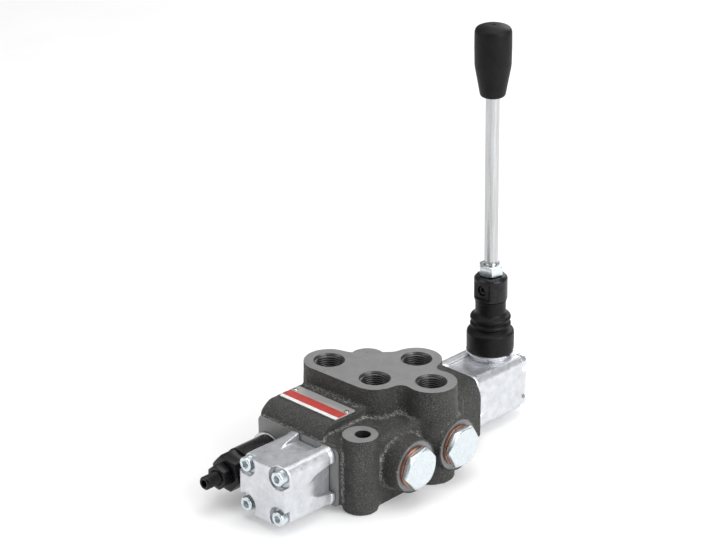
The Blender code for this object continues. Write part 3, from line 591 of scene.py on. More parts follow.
ZINC_TINT = (0.72, 0.78, 0.81)
ALONG = (1.0, 1.0, 0.03)  # stretches a noise along the lever rod
ACROSS = (0.04, 1.0, 1.0)  # stretches a noise across the plate
MATERIALS = {
    "cast_iron": cast_iron(), "machined_iron": machined_iron(), "die_cast": die_cast(),
    "plastic": knob_plastic(), "copper": copper(),
    # bore finish: machined iron painted much darker, as painted shade inside the holes
    "shaded_bore": surface(
        "bored_iron", 0.7, 0.4, ((0.8, 3.0), grey(0.055), grey(0.10)),
        ((1.5, 3.0), 0.30, 0.44), ((0.5, 2.0), 0.01)),
    "zinc": surface(
        "zinc_plate", 0.93, 0.5, ((3.0, 4.0), grey(0.93, ZINC_TINT), ZINC_TINT),
        ((4.0, 3.0, 0.5), 0.20, 0.34), ((4.0, 2.0, 0.5), 0.006, 0.1)),
    "drawn_steel": surface(
        "drawn_rod_steel", 0.95, 0.5, ((1.1, 4.0, 0.6, ALONG), grey(0.44), (0.64, 0.65, 0.66)),
        ((0.9, 4.0, 0.6, ALONG), 0.22, 0.36), ((0.5, 3.0, 0.6, ALONG), 0.010, 0.6)),
    "steel": surface(
        "ground_steel", 1.0, 0.5, ((2.0, 3.0), grey(0.46), grey(0.60)),
        ((1.0, 3.0), 0.20, 0.34), ((0.4, 2.0), 0.003, 0.08)),
    "black_steel": surface(
        "black_oxide_steel", 0.4, 0.38, ((2.5, 4.0), grey(0.006), (0.018, 0.018, 0.021)),
        ((1.0, 4.0, 0.6), 0.24, 0.38), ((0.5, 3.0, 0.6), 0.014, 0.7)),
    "rubber": surface(
        "moulded_rubber", 0.0, 0.18, ((4.0, 3.0), grey(0.0035), (0.0065, 0.0065, 0.0075)),
        ((1.6, 4.0, 0.6), 0.36, 0.52), ((0.4, 3.0, 0.6), 0.012, 0.8)),
    "brass": surface(
        "brass", 1.0, 0.5, ((1.5, 3.0), (0.42, 0.36, 0.30), (0.60, 0.53, 0.46)),
        ((0.8, 3.0), 0.24, 0.38), ((0.4, 3.0), 0.008)),
    "plate": surface(
        "brushed_plate", 0.75, 0.5, ((0.5, 4.0, 0.6, ACROSS), grey(0.60), (0.84, 0.84, 0.81)),
        ((0.6, 3.0, 0.6, ACROSS), 0.28, 0.42), ((0.25, 3.0, 0.6, ACROSS), 0.006)),
    "plate_red": plate_print("plate_red", (0.36, 0.035, 0.028), (0.48, 0.055, 0.045)),
    "plate_white": plate_print("plate_white", (0.66, 0.65, 0.64), (0.80, 0.79, 0.78)),
}


def dress(obj, finish, body, slot, *nodes):
    """Gives a piece its material and the body it rides on, and hides the CAD nodes it stands for."""
    obj.data.materials.append(MATERIALS[finish])
    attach(obj, body)
    if nodes:
        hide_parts(*nodes)


# --- valve body ---
def deck_plan(p):
    """Plan of the port deck: four round lobes joined by webs of different widths."""
    port_p, port_a, port_b, port_t = (PORTS[key] for key in "pabt")
    draft = 0.02 * (DECK_Z - p[2])
    lobes = wall_field(p, port_p, port_a, LOBE_R)
    lobes = unite([lobes, round_field(p, port_b, LOBE_R), round_field(p, port_t, LOBE_R)], 1.0)
    webs = unite([wall_field(p, port_p, port_b, 9.4), wall_field(p, port_a, port_b, 12.0),
                  wall_field(p, port_a, port_t, 7.0), wall_field(p, port_t, port_b, 7.6)], 2.0)
    return smooth_min(lobes, webs, 3.0) - draft


def rough_casting(p):
    """The casting before machining, every joint filleted."""
    body = box_field(p, (-43.5, -63.5, UNDERSIDE_Z), (30.0, 26.0, SHELF_Z), 3.0)
    pad = box_field(p, (-42.5, -72.0, UNDERSIDE_Z + 1.0), (20.0, -50.0, 38.8), 3.5)
    gentle = 0.914 * (p[2] - PLATFORM_Z) - 0.407 * (p[1] + 58.5)
    steep = 0.682 * (p[2] - 44.3) - 0.731 * (p[1] + 62.6)
    platform = box_field(p, (-41.9, -66.0, 20.0), (5.4, -18.0, PLATFORM_Z), 1.3)
    platform = smooth_max(platform, smooth_max(gentle, steep, 1.6), 1.2)
    neck_side = corner_distance(np.abs(p[0]) - 20.7, p[2] - 39.2, 12.5)
    neck = box_field(p, (-21.0, 0.0, UNDERSIDE_Z + 0.5), (21.0, 56.0, 60.0), 2.0)
    neck = smooth_max(neck_side, neck, 1.2)
    deck = corner_distance(deck_plan(p), 24.0 - p[2], 1.0)
    rib = box_field(p, (14.0, -52.0, -4.0), (29.8, 6.0, 16.0), 2.5)
    feet = box_field(p, (-13.0, -38.0, -4.0), (13.0, 30.0, 12.0), 2.5)
    tank = post_field(p, 2, PORTS["t"], 13.7, -4.0, 44.0, draft=-0.002)
    body = unite([body, pad], 2.0)
    body = unite([body, neck, rib, feet, tank], 3.0)
    body = smooth_min(body, platform, 1.8)
    body = smooth_min(body, deck, 2.8)
    for y in PLUG_YS.values():
        boss = post_field(p, 0, (y, PLUG_Z), 15.7, 0.0, PLUG_X + 0.7, 0.6, 0.02)
        body = smooth_min(body, boss, 2.8)
    for x, y in BOSSES.values():
        boss = post_field(p, 2, (x, y), BOSS_R - 0.15, -4.0, BOSS_Z + 1.0, 0.6)
        body = smooth_min(body, boss, 1.8)
    return body + ripple(p, 5.0, 0.05, 3) + ripple(p, 1.9, 0.035, 5)


def bore(axis, centre, radius, low, high):
    """Field that removes a round hole."""
    def field(p):
        return -post_field(p, axis, centre, radius, low, high, 0.0)
    return field


def screw_holes(low, high):
    return [bore(1, (x, SPOOL_Z + z), SCREW_HOLE_R, low, high) for x, z in SCREW_CORNERS]


def plane(axis, height, sign):
    """Field that keeps one side of a plane; the sum of zeros gives it the grid's full shape."""
    def field(p):
        return sign * (p[axis] - height) + 0.0 * (p[0] + p[1] + p[2])
    return field


def valve_body():
    cuts = [("machined_iron", plane(2, DECK_Z, 1)), ("machined_iron", plane(2, 0.0, -1)),
            ("machined_iron", plane(1, FRONT_Y, -1)), ("machined_iron", plane(1, REAR_Y, 1))]
    for x, y in BOSSES.values():
        cuts.append(("machined_iron", bore(2, (x, y), BOSS_R + 1.4, BOSS_Z, 60.0)))
    for y in PLUG_YS.values():
        cuts.append(("machined_iron", bore(0, (y, PLUG_Z), 15.0, PLUG_X - 0.3, 60.0)))
        # the plug's drilling takes the bore finish, which is painted shade
        cuts.append(("shaded_bore", bore(0, (y, PLUG_Z), 7.9, 29.5, 60.0)))
    holes = []
    for place in PORTS.values():
        holes.append(bore(2, place, PORT_MOUTH_R + 0.12, DECK_Z - PORT_DEPTH - 1.0, 70.0))
        holes.append(bore(2, place, 5.5, 26.0, DECK_Z))
    holes += [bore(2, place, BOLT_HOLE_R, -9.0, 70.0) for place in BOLT_HOLES.values()]
    for low, high, radius in ((-90.0, 70.0, SPOOL_BORE_R), (-64.2, -60.8, SEAL_GROOVE_R),
                              (43.8, 47.2, SEAL_GROOVE_R)):
        holes.append(bore(1, (0.0, SPOOL_Z), radius, low, high))
    for high, radius in ((-44.5, 8.75), (-14.0, 5.7)):
        holes.append(bore(1, (RELIEF_X, RELIEF_Z), radius, -90.0, high))
    holes += screw_holes(-90.0, FRONT_Y + SCREW_REACH) + screw_holes(REAR_Y - SCREW_REACH, 90.0)
    # every hole takes the bore finish, which is painted shade
    cuts += [("shaded_bore", hole) for hole in holes]
    fields = [rough_casting] + [cut for _, cut in cuts]
    low = (-56.0, FRONT_Y, 0.0)
    high = (PLUG_X + 1.0, REAR_Y, DECK_Z)
    body, label = contour("valve_body_casting", fields, low, high, BODY_STEP)
    order = ["cast_iron", "machined_iron", "shaded_bore"]
    lookup = np.array([0] + [order.index(finish) for finish, _ in cuts], np.int32)
    dress(body, "cast_iron", "root", "cast_iron", "valve_body")
    for finish in order[1:]:
        body.data.materials.append(MATERIALS[finish])
    body.data.polygons.foreach_set("material_index", lookup[label])


def port_threads():
    """Chamfer and thread of each port, a liner set in the casting's bore, coloured dark as painted shade.
    """
    top, bottom = DECK_Z - 0.02, DECK_Z - PORT_DEPTH
    for key, (x, y) in PORTS.items():
        outer = PORT_MOUTH_R + 0.10
        rings = [(outer, bottom - 0.9), (outer, top - 0.02), (PORT_MOUTH_R - 0.05, top - 0.02)]
        rings += [(PORT_THREAD_R + 0.05, top - 0.6)]
        depth = PORT_THREAD_R - PORT_R
        rings += thread(PORT_THREAD_R, depth, G38_PITCH, bottom, top - 0.7, PORT_SIDES, 0.4)
        rings += [(5.6, bottom - 0.7), (5.6, bottom - 0.9)]
        liner = loft("port_thread_" + key, rings[::-1], upright(x, y), PORT_SIDES, True, 50.0)
        dress(liner, "shaded_bore", "root", "cast_iron")
        liner.data.flip_normals()


# --- spring cap and lever box ---
def square_section(p, half):
    x, z = np.abs(p[0]), np.abs(p[2] - SPOOL_Z)
    return corner_distance(x - half, z - half, RIDGE_R)


def housing_field(p, joint, face, tip, depth):
    """Square housing rounded round its screws; each side hollows from the tip to the flange."""
    x, z = np.abs(p[0]), np.abs(p[2] - SPOOL_Z)
    ends = np.maximum(min(joint, face) - p[1], p[1] - max(joint, face))
    block = corner_distance(square_section(p, HOUSING_HALF), ends, 0.6)
    lip_end = joint + math.copysign(FLANGE_T, face - joint)
    lip_ends = np.maximum(min(joint, lip_end) - p[1], p[1] - max(joint, lip_end))
    lip = corner_distance(square_section(p, HOUSING_HALF + FLANGE_LIP), lip_ends, 0.4)
    block = smooth_min(block, lip, 0.6)
    near = np.clip((p[1] - tip) / (joint - tip), 0.0, 1.0)
    width = 1.0 + 8.6 * np.sqrt(near)
    floor_level = HOUSING_HALF + 0.7 - (depth + 0.7) * near ** 1.2
    for out, across in ((x, z), (z, x)):
        hollow = corner_distance(across - width, floor_level - out, 1.2)
        block = smooth_max(block, -hollow, 0.7)
    return block


def screw_recess(p, seat, outward):
    """Space round each screw head, open at the corner of the housing."""
    x, z = np.abs(p[0]), np.abs(p[2] - SPOOL_Z)
    pocket = np.hypot(x - SCREW_PITCH, z - SCREW_PITCH) - SCREW_RECESS_R
    return corner_distance(pocket, outward * (seat - p[1]), 0.3)


def cap_field(p):
    cap = housing_field(p, CAP_JOINT_Y, CAP_FACE_Y, -90.0, 4.1)
    return smooth_max(cap, -screw_recess(p, CAP_SEAT_Y, -1), 0.4) + ripple(p, 6.0, 0.02, 8)


def spring_cap():
    cuts = [plane(1, CAP_JOINT_Y, 1), bore(1, (0.0, SPOOL_Z), 12.2, -100.0, 0.0),
            bore(1, (0.0, SPOOL_Z), 6.3, CAP_FACE_Y + 3.0, 0.0)]
    cuts += screw_holes(-120.0, 0.0)
    half = HOUSING_HALF + FLANGE_LIP
    low, high = (-half, CAP_FACE_Y, SPOOL_Z - half), (half, CAP_JOINT_Y, SPOOL_Z + half)
    cap, _ = contour("spring_cap_casting", [cap_field] + cuts, low, high, HOUSING_STEP)
    dress(cap, "die_cast", "root", "die_cast_aluminium", "spring_cap")
    face = aim((0.0, CAP_FACE_Y + 0.06, SPOOL_Z), (0, -1, 0))
    ring = softened([(5.55, 0.0), (5.45, 0.16), (5.15, 0.16), (5.05, 0.0)], 0.05)
    mark = loft("cap_ring_mark", ring[::-1], face, 72, closed=True)
    dress(mark, "die_cast", "root", "die_cast_aluminium")


def turret_field(p):
    """Flared round turret that carries the rubber boot, with a thin collar under it."""
    radial = np.hypot(p[0], p[1] - LEVER_Y)
    flare = 11.6 + 1.9 * np.clip((p[2] - 36.0) / 5.0, 0.0, 1.0) ** 1.5
    neck = corner_distance(radial - flare, np.maximum(28.0 - p[2], p[2] - 41.8), 0.3)
    collar = corner_distance(radial - 14.3, np.maximum(41.4 - p[2], p[2] - COLLAR_Z), 0.3)
    spigot = corner_distance(radial - 11.2, np.maximum(39.0 - p[2], p[2] - 48.0), 0.5)
    return smooth_min(smooth_min(neck, collar, 0.4), spigot, 0.3)


def box_shape(p):
    housing = housing_field(p, BOX_JOINT_Y, BOX_FACE_Y, 62.0, 1.8)
    top = SPOOL_Z + HOUSING_HALF - 0.8
    hollow = corner_distance(np.abs(p[0]) - 8.2, top - p[2], 0.6)
    hollow = corner_distance(hollow, np.maximum(BOX_JOINT_Y + FLANGE_T - p[1], p[1] - 93.0), 1.0)
    housing = smooth_max(housing, -hollow, 0.5)
    housing = smooth_max(housing, -screw_recess(p, BOX_SEAT_Y, 1), 0.4)
    tail = post_field(p, 1, (0.0, SPOOL_Z), 10.0, 80.0, BOX_TAIL_Y - 0.02, 1.2)
    housing = smooth_min(housing, tail, 1.0)
    return smooth_min(housing, turret_field(p), 0.9) + ripple(p, 6.0, 0.02, 9)


def lever_box():
    cuts = [plane(1, BOX_JOINT_Y, -1), bore(1, (0.0, SPOOL_Z), 9.2, 0.0, 96.5),
            bore(2, (0.0, LEVER_Y), 7.8, SPOOL_Z, 80.0), bore(0, (LEVER_Y, PIVOT_Z), 2.6, -30.0, 30.0)]
    cuts += screw_holes(0.0, 120.0)
    half = HOUSING_HALF + FLANGE_LIP
    low, high = (-half, BOX_JOINT_Y, SPOOL_Z - half), (half, BOX_TAIL_Y, 48.5)
    box, _ = contour("lever_box_casting", [box_shape] + cuts, low, high, HOUSING_STEP)
    dress(box, "die_cast", "root", "die_cast_aluminium", "lever_box")


# --- screws, plugs and nuts ---
def screw_rings(length):
    """Socket head cap screw; heights are measured from under the head."""
    head_r, head_h, shank_r = SCREW_HEAD_R, SCREW_HEAD_H, SCREW_SHANK_R
    knurl = head_r - 0.10 * (0.5 - 0.5 * np.cos(angles(144) * 36)) ** 2
    socket = flats(SCREW_SOCKET, 144)
    depth = head_h * 0.45
    rings = [(0, depth - 0.5), (SCREW_SOCKET * 0.3, depth - 0.2), (socket, depth), (socket, head_h - 0.25)]
    rings += [(SCREW_SOCKET * 0.60, head_h), (head_r - 0.75, head_h), (head_r - 0.42, head_h - 0.08)]
    rings += [(head_r - 0.18, head_h - 0.28), (head_r - 0.06, head_h - 0.60), (knurl, head_h - 0.85)]
    rings += [(knurl, 0.35), (head_r - 0.12, 0.12), (head_r - 0.25, 0.0), (shank_r, 0.0)]
    return rings + [(shank_r, -length + 0.6), (shank_r * 0.8, -length), (0, -length)]


def housing_screws(name, seat, joint, outward):
    """Four socket head screws; each is turned to its own angle, as tightened."""
    for index, (x, z) in enumerate(SCREW_CORNERS, 1):
        node = f"{name}_{index}"
        place = aim((x, seat + outward * 0.15, SPOOL_Z + z), (0, outward, 0))
        place = place @ Matrix.Rotation(math.radians(17.0 + 23.0 * index), 4, "Z")
        length = abs(seat - joint) + 11.0
        screw = loft(node + "_look", screw_rings(length), place, 144, angle=40.0)
        dress(screw, "zinc", "root", "zinc_steel", node)


def hexagon_rings(across, low, high, face_r, turn):
    """Hexagon from its high face down; a turned chamfer rounds off the corners of both faces."""
    wall = flats(across, turn=turn)
    droop = np.maximum(wall - face_r, 0.0) * 0.56
    edge = [(face_r - 0.22, 0.0), (face_r, 0.05), (wall - 0.10, droop), (wall, droop + 0.18)]
    rings = [(radius, high - drop) for radius, drop in edge]
    return rings + [(radius, low + rise) for radius, rise in reversed(edge)]


def side_plugs():
    """Hexagonal plug over a copper ring, one at each end of the two cross drillings."""
    for key, y in PLUG_YS.items():
        low, high = node_box("side_plug_" + key)
        washer_low, washer_high = node_box("side_washer_" + key)
        seat, head = washer_low[0], washer_high[0] + 0.1
        place = along_x(y, PLUG_Z)
        rings = [(0, high[0] - 0.05), (9.6, high[0] - 0.05), (10.0, high[0])]
        rings += hexagon_rings(22.0, head, high[0], 10.75, math.radians(HEX_TURN[key]))
        rings += [(7.25, head)] + thread(7.25, 0.6, G38_PITCH, low[0] + 1.0, head - 2.2)
        rings += [(6.0, low[0]), (0, low[0])]
        plug = loft(f"side_plug_{key}_look", rings, place)
        dress(plug, "zinc", "root", "zinc_steel", "side_plug_" + key)
        corners = [(12.0, head - 0.1), (12.0, seat), (8.0, seat), (8.0, head - 0.1)]
        section = softened(corners, 0.35)
        washer = loft(f"side_washer_{key}_look", section, place, closed=True)
        dress(washer, "copper", "root", "copper", "side_washer_" + key)


# --- identification plate ---
def plate_edge(low, high, heights, corner=0.9):
    """Left edge of the plate from its low corner to its high one, with rounded corners."""
    arc = [math.radians(18 * step) for step in range(6)]
    inset = [(corner - corner * math.sin(turn), corner - corner * math.cos(turn)) for turn in arc]
    edge = [(low[0] + across, low[1] + along) for across, along in inset]
    edge += [(low[0], height) for height in heights]
    return edge + [(low[0] + across, high[1] - along) for across, along in reversed(inset)]


def id_plate():
    """Plate printed with a white, a red and a bare band; it carries no lettering."""
    low, high = node_box("id_plate")
    white_end, red_end = low[1] + 2.5, low[1] + 9.0
    edge = plate_edge(low, high, (white_end, red_end))
    count = len(edge)
    left = []
    for inset, z in ((0.0, low[2]), (0.0, high[2] - 0.12), (0.12, high[2])):
        for x, y in edge:
            left.append((x + inset, min(max(y, low[1] + inset), high[1] - inset), z))
    right = [(low[0] + high[0] - x, y, z) for x, y, z in left]
    across = len(left)
    faces = []
    for row in (0, count):
        for here in range(row, row + count - 1):
            faces.append((here + 1, here, here + count, here + count + 1))
            there = across + here
            faces.append((there, there + 1, there + count + 1, there + count))
        last = row + count - 1
        faces.append((row, across + row, across + row + count, row + count))
        faces.append((across + last, last, last + count, across + last + count))
    finishes = [0] * len(faces)
    for here in range(count - 1):
        centre_y = (edge[here][1] + edge[here + 1][1]) / 2
        top = 2 * count + here
        faces.append((top + 1, top, across + top, across + top + 1))
        finishes.append(1 if centre_y < white_end else 2 if centre_y < red_end else 0)
        faces.append((here, here + 1, across + here + 1, across + here))
        finishes.append(0)
    plate = make_mesh("id_plate_look", np.array(left + right) * MM, faces, 20.0)
    dress(plate, "plate", "root", "id_plate", "id_plate")
    for finish in ("plate_white", "plate_red"):
        plate.data.materials.append(MATERIALS[finish])
    plate.data.polygons.foreach_set("material_index", finishes)


def plate_rivets():
    for index in (1, 2):
        node = f"plate_rivet_{index}"
        low, high = node_box(node)
        centre = (low + high) / 2
        dome = [(0, 0.0), (0.5, 0.04), (0.95, 0.16), (1.28, 0.36), (1.48, 0.62), (1.48, 0.70), (0.9, 0.72)]
        rings = [(radius, high[2] - drop) for radius, drop in dome] + [(0.9, low[2]), (0, low[2])]
        rivet = loft(node + "_look", rings, upright(centre[0], centre[1]), 32, angle=50.0)
        dress(rivet, "brass", "root", "zinc_steel", node)


# --- relief valve ---
def relief_valve():
    """Cartridge, seal washer, lock nut and adjusting screw, heights counted towards the front."""
    place = aim((RELIEF_X, 0.0, RELIEF_Z), (0, -1, 0))
    shoulder = -node_box("relief_seal_washer")[0][1] + 0.2
    tube_end = 90.4
    hex_end = -node_box("relief_cartridge")[0][1]
    inner = -node_box("relief_cartridge")[1][1]
    rings = hexagon_rings(19.0, 90.3, hex_end, 9.25, math.radians(-12.0))
    rings += [(10.5, tube_end), (11.0, tube_end - 0.5), (11.0, shoulder + 0.5)]
    rings += [(10.6, shoulder), (8.4, shoulder)]
    rings += thread(8.4, 0.7, 1.5, shoulder - 18.0, shoulder - 2.5) + [(8.2, inner + 0.5), (7.8, inner)]
    rings += [(5.9, inner), (5.9, 95.5), (4.1, 95.6), (4.1, hex_end)]
    body = loft("relief_cartridge_look", rings, place, closed=True)
    dress(body, "black_steel", "root", "black_steel", "relief_cartridge")
    low, high = node_box("relief_seal_washer")
    corners = [(12.5, -low[1]), (12.5, -high[1]), (8.9, -high[1]), (8.9, -low[1])]
    section = softened(corners, 0.3)
    washer = loft("relief_seal_washer_look", section, place, closed=True)
    dress(washer, "steel", "root", "ground_steel", "relief_seal_washer")
    low, high = node_box("relief_lock_nut")
    rings = hexagon_rings(13.0, -high[1], -low[1], 6.2, math.radians(-20.0))
    rings += [(4.6, -high[1]), (4.15, -high[1] + 0.4), (4.15, -low[1] - 0.4), (4.6, -low[1])]
    nut = loft("relief_lock_nut_look", rings, place, closed=True)
    dress(nut, "black_steel", "root", "black_steel", "relief_lock_nut")
    low, high = node_box("relief_adjuster")
    tip, root = -low[1], -high[1]
    socket = flats(4.0)
    rings = [(0, tip - 4.4), (1.2, tip - 4.2), (socket, tip - 4.0), (socket, tip - 0.3)]
    rings += [(2.6, tip), (3.1, tip), (3.5, tip - 0.35)]
    rings += thread(3.9, 0.55, M8_PITCH, root + 2.6, tip - 0.8)
    rings += [(3.0, root + 2.0), (3.0, root), (0, root)]
    screw = loft("relief_adjuster_look", rings, place)
    dress(screw, "black_steel", "relief_adjuster", "black_steel", "relief_adjuster")


# --- lever ---
def hub_rings():
    """Lever hub from its top down: chamfered head, milled flat, shank, eye, finger and ball."""
    low, high, head = HUB_BOTTOM_Z, HUB_TOP_Z, HUB_R
    across = np.cos(angles(SIDES) - math.atan2(SET_SCREW_SIDE.y, SET_SCREW_SIDE.x))
    milled = np.where(across > 0.05, np.minimum(head, HUB_FLAT / np.maximum(across, 0.05)), head)
    top, bottom = high - 3.0, low + 1.6
    rings = [(4.15, high - 1.0), (4.5, high - 0.05), (4.6, high), (7.9, high), (8.2, high - 0.12)]
    rings += [(head - 0.15, high - 1.6), (head, high - 1.95), (head, top + 0.05)]
    rings += [(milled, top), (milled, bottom)]
    rings += [(head, bottom - 0.05), (head, low + 0.4), (head - 0.3, low), (7.2, low), (7.2, 64.0)]
    rings += [(5.2, 60.0), (5.2, PIVOT_Z - 5.0), (2.6, PIVOT_Z - 9.0), (2.6, SPOOL_Z + 3.4)]
    rings += [(4.15 * math.sin(math.radians(a)), SPOOL_Z + 4.15 * math.cos(math.radians(a)))
              for a in range(45, 180, 15)]
    return rings + [(0, SPOOL_Z - 4.15)]


def cylinder(name, start, end, radius):
    along = Vector(end) - Vector(start)
    rings = [(0, along.length), (radius, along.length), (radius, 0.0), (0, 0.0)]
    return loft(name, rings, aim(start, along), 48)


def carve(target, *cutters):
    """Cuts solids out of a piece for good."""
    for cutter in cutters:
        mod = target.modifiers.new(cutter.name, "BOOLEAN")
        mod.operation = "DIFFERENCE"
        mod.solver = "EXACT"
        mod.object = cutter
    bpy.context.view_layer.update()
    graph = bpy.context.evaluated_depsgraph_get()
    cut = bpy.data.meshes.new_from_object(target.evaluated_get(graph))
    target.modifiers.clear()
    target.data = cut
    for cutter in cutters:
        bpy.data.objects.remove(cutter)
    target.data.shade_smooth()
    target.data.set_sharp_from_angle(angle=math.radians(30))


def lever_hub():
    lean = leaning()
    rings = [(0, 74.5), (4.15, 74.6)] + hub_rings()
    hub = loft("lever_hub_look", rings, lean @ upright(0.0, LEVER_Y))
    middle = Vector((0.0, LEVER_Y, SET_SCREW_Z))
    start, end, seat = (lean @ ((middle + SET_SCREW_SIDE * out) * MM) / MM for out in (4.0, 20.0, 4.5))
    screw_hole = cylinder("set_screw_hole", start, end, SET_SCREW_HOLE_R)
    pin_hole = cylinder("pin_hole", (-20.0, LEVER_Y, PIVOT_Z), (20.0, LEVER_Y, PIVOT_Z), PIN_HOLE_R)
    carve(hub, screw_hole, pin_hole)
    dress(hub, "black_steel", "lever", "black_steel", "lever_hub")
    socket = flats(2.5, 48)
    rings = [(0, 0.8), (0.8, 0.9), (socket, 1.1), (socket, 2.3), (1.6, 2.55), (2.3, 2.55), (2.85, 2.2)]
    rings += [(2.85, 0.4), (2.4, 0.0), (0, 0.0)]
    grub = loft("hub_set_screw_look", rings, aim(seat, SET_SCREW_SIDE), 48)
    dress(grub, "black_steel", "lever", "black_steel", "hub_set_screw")


def lever_boot():
    """Rubber bellows from the turret's collar to the hub, set at the lever's lean."""
    rim = HUB_BOTTOM_Z - 0.35
    outer = [(7.7, rim), (8.9, rim), (9.25, rim - 0.3), (9.25, rim - 1.0), (8.95, rim - 1.3), (8.95, 67.2)]
    outer += [(9.6, 65.8), (11.4, 64.8), (12.0, 63.9), (12.0, 63.0), (11.4, 62.2), (10.6, 61.5)]
    outer += [(10.6, 61.1), (11.4, 60.5), (12.0, 59.7), (12.0, 58.9), (11.4, 58.1), (10.7, 57.5)]
    outer += [(10.7, 57.0), (11.9, 56.1), (13.5, 55.2), (13.95, 54.2), (14.0, 52.0), (13.95, 44.0)]
    outer += [(13.7, COLLAR_Z + 0.5), (12.8, COLLAR_Z + 0.35)]
    inner = [(12.0, COLLAR_Z + 0.6), (12.0, 53.2), (9.5, 56.2), (9.3, 60.0), (10.4, 63.2), (7.7, 66.0)]
    profile = softened(outer + inner, 0.9)
    boot = loft("lever_boot_look", profile, leaning() @ upright(0.0, LEVER_Y), closed=True, angle=60.0)
    boot.data.materials.append(MATERIALS["rubber"])
    bottom, top = (0.0, LEVER_Y * MM, 0.0435), (0.0, LEVER_Y * MM, 0.068)
    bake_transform(boot)
    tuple(bottom)
    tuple(top)
    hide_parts("lever_boot")


def lever_top():
    """Rod, lock nut and knob."""
    place = leaning() @ upright(0.0, LEVER_Y)
    low, high = HUB_TOP_Z + 0.3, HUB_TOP_Z + 6.8
    rings = [(0, 222.0), (3.9, 222.0), (3.98, 221.0), (3.98, high + 2.2), (3.7, high + 1.9)]
    rings += thread(3.98, 0.5, M8_PITCH, 76.5, high + 1.8) + [(3.4, 75.5), (0, 75.5)]
    rod = loft("lever_rod_look", rings, place)
    dress(rod, "drawn_steel", "lever", "ground_steel", "lever_rod")
    rings = hexagon_rings(13.0, low, high, 6.25, math.radians(15.0))
    rings += [(4.5, low), (4.12, low + 0.4), (4.12, high - 0.4), (4.5, high)]
    nut = loft("lever_lock_nut_look", rings, place, closed=True)
    dress(nut, "zinc", "lever", "zinc_steel", "lever_lock_nut")
    outline = [(0, 241.35), (1.3, 241.35), (1.6, 241.62), (3.6, 241.6), (5.6, 241.35), (7.4, 240.9)]
    outline += [(8.9, 240.3), (9.6, 239.8), (10.15, 239.0), (10.45, 238.0), (10.55, 236.6), (10.6, 229.0)]
    outline += [(10.42, 219.0), (10.2, 217.0), (8.9, 210.0), (7.5, 202.2), (7.3, 201.2), (6.9, 200.4)]
    outline += [(6.3, 200.0), (5.95, 200.1), (5.95, 226.0), (0, 226.0)]
    knob = loft("lever_knob_look", outline, place, angle=40.0)
    dress(knob, "plastic", "lever", "black_plastic", "lever_knob")


# --- carried over CAD nodes ---
def working_spring(node, axis, outward):
    """Copy of a CAD spring, put in its place; outward is +1 or -1 along the axis."""
    source = frame["nodes"][node]
    low, high = (np.array(corner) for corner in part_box(node))
    middle = (low + high) / 2
    start, end = middle.copy(), middle.copy()
    start[axis], end[axis] = (high[axis], low[axis]) if outward > 0 else (low[axis], high[axis])
    coil = add_object(node + "_coil", source.data.copy())
    coil.matrix_world = source.matrix_world
    coil.data.materials.clear()
    coil.data.materials.append(MATERIALS["steel"])
    tuple(start)
    tuple(end)
    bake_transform(coil)
    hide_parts(node)


def finish_cad_nodes():
    """Procedural finishes for the pieces inside, which keep their CAD shape."""
    inside = {
        "steel": ("centering_spring", "inner_spring_cup", "outer_spring_cup", "spool", "spool_link",
                  "lever_pivot_pin", "relief_poppet", "relief_seat", "relief_spring_seat",
                  "load_check_poppet"),
        "black_steel": ("spool_end_bolt",),
        "rubber": ("front_spool_seal", "rear_spool_seal"),
        "brass": ("knob_insert",),
    }
    for finish, names in inside.items():
        for name in names:
            mesh = frame["nodes"][name].data
            mesh.materials.clear()
            mesh.materials.append(MATERIALS[finish])


# --- studio ---
CAMERA_AZIMUTH = math.radians(43.76)
CAMERA_HEIGHT = math.radians(23.62)
CAMERA_ROLL = math.radians(-0.13)
CAMERA_DISTANCE = 1.25623
CAMERA_TARGET = Vector((0.0, -0.02525, 0.1252))
LENS = 114.57
LIGHT_TARGET = Vector((0.0, 0.0, 0.05))
FLOOR_Z = -0.0005
FLOOR_HALF = 4


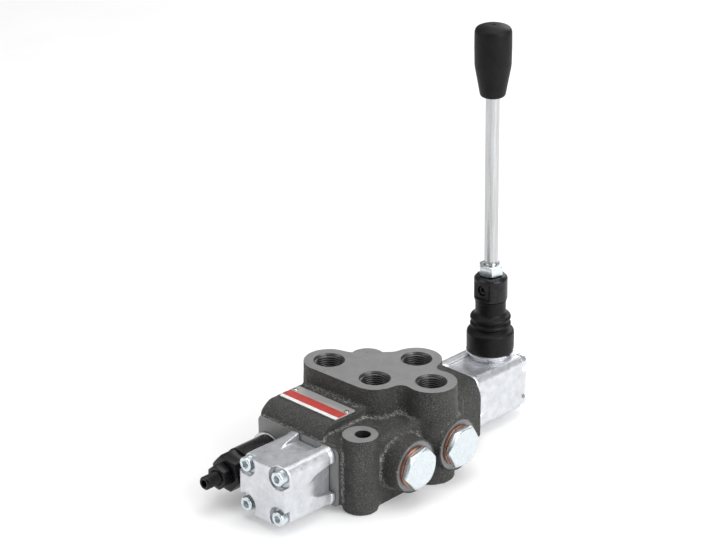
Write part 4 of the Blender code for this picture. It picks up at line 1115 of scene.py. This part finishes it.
def camera():
    a, e = CAMERA_AZIMUTH, CAMERA_HEIGHT
    right = Vector((math.cos(a), math.sin(a), 0.0))
    ahead = Vector((-math.sin(a) * math.cos(e), math.cos(a) * math.cos(e), -math.sin(e)))
    up = right.cross(ahead)
    side = right * math.cos(CAMERA_ROLL) + up * math.sin(CAMERA_ROLL)
    top = up * math.cos(CAMERA_ROLL) - right * math.sin(CAMERA_ROLL)
    eye = CAMERA_TARGET - ahead * CAMERA_DISTANCE
    data = bpy.data.cameras.new("camera")
    data.sensor_width = 36.0
    data.lens = LENS
    data.shift_x, data.shift_y = -0.0022, -0.0008
    obj = add_object("camera", data)
    obj.matrix_world = Matrix((side, top, -ahead)).transposed().to_4x4()
    obj.matrix_world.translation = eye
    bpy.context.scene.camera = obj


def floor():
    mesh = bpy.data.meshes.new("floor")
    corners = [(x * FLOOR_HALF, y * FLOOR_HALF, FLOOR_Z) for x, y in ((-1, -1), (1, -1), (1, 1), (-1, 1))]
    mesh.from_pydata(corners, [], [(0, 1, 2, 3)])
    mesh.materials.append(floor_paint())
    obj = add_object("floor", mesh)


def area_light(name, place, size, power):
    """Area light aimed at the valve."""
    data = bpy.data.lights.new(name, "AREA")
    data.shape, data.energy = "RECTANGLE", power
    data.size, data.size_y = size
    turn = (LIGHT_TARGET - Vector(place)).to_track_quat("-Z", "Y").to_matrix().to_4x4()
    add_object(name, data).matrix_world = Matrix.Translation(place) @ turn


def studio():
    camera()
    floor()
    area_light("front", (-0.9, -1.2, 1.2), (1.3, 1.3), 9.0)
    area_light("side", (1.5, 0.1, 0.9), (1.2, 1.4), 25.0)
    area_light("top", (0.1, 0.2, 1.7), (1.4, 1.4), 17.0)
    area_light("back", (-0.45, 1.5, 0.85), (1.0, 0.8), 8.0)
    world = bpy.data.worlds.new("studio_light")
    bpy.context.scene.world = world
    world.use_nodes = True
    background = world.node_tree.nodes["Background"]
    background.inputs["Color"].default_value = (1.0, 1.0, 1.0, 1.0)
    background.inputs["Strength"].default_value = 0.30
    bpy.context.scene.view_settings.view_transform = "Standard"


valve_body()
port_threads()
spring_cap()
lever_box()
housing_screws("spring_cap_screw", CAP_SEAT_Y, FRONT_Y, -1)
housing_screws("lever_box_screw", BOX_SEAT_Y, REAR_Y, 1)
side_plugs()
id_plate()
plate_rivets()
relief_valve()
lever_hub()
lever_boot()
lever_top()
working_spring("relief_spring", 1, -1)
working_spring("load_check_spring", 0, 1)
finish_cad_nodes()
studio()
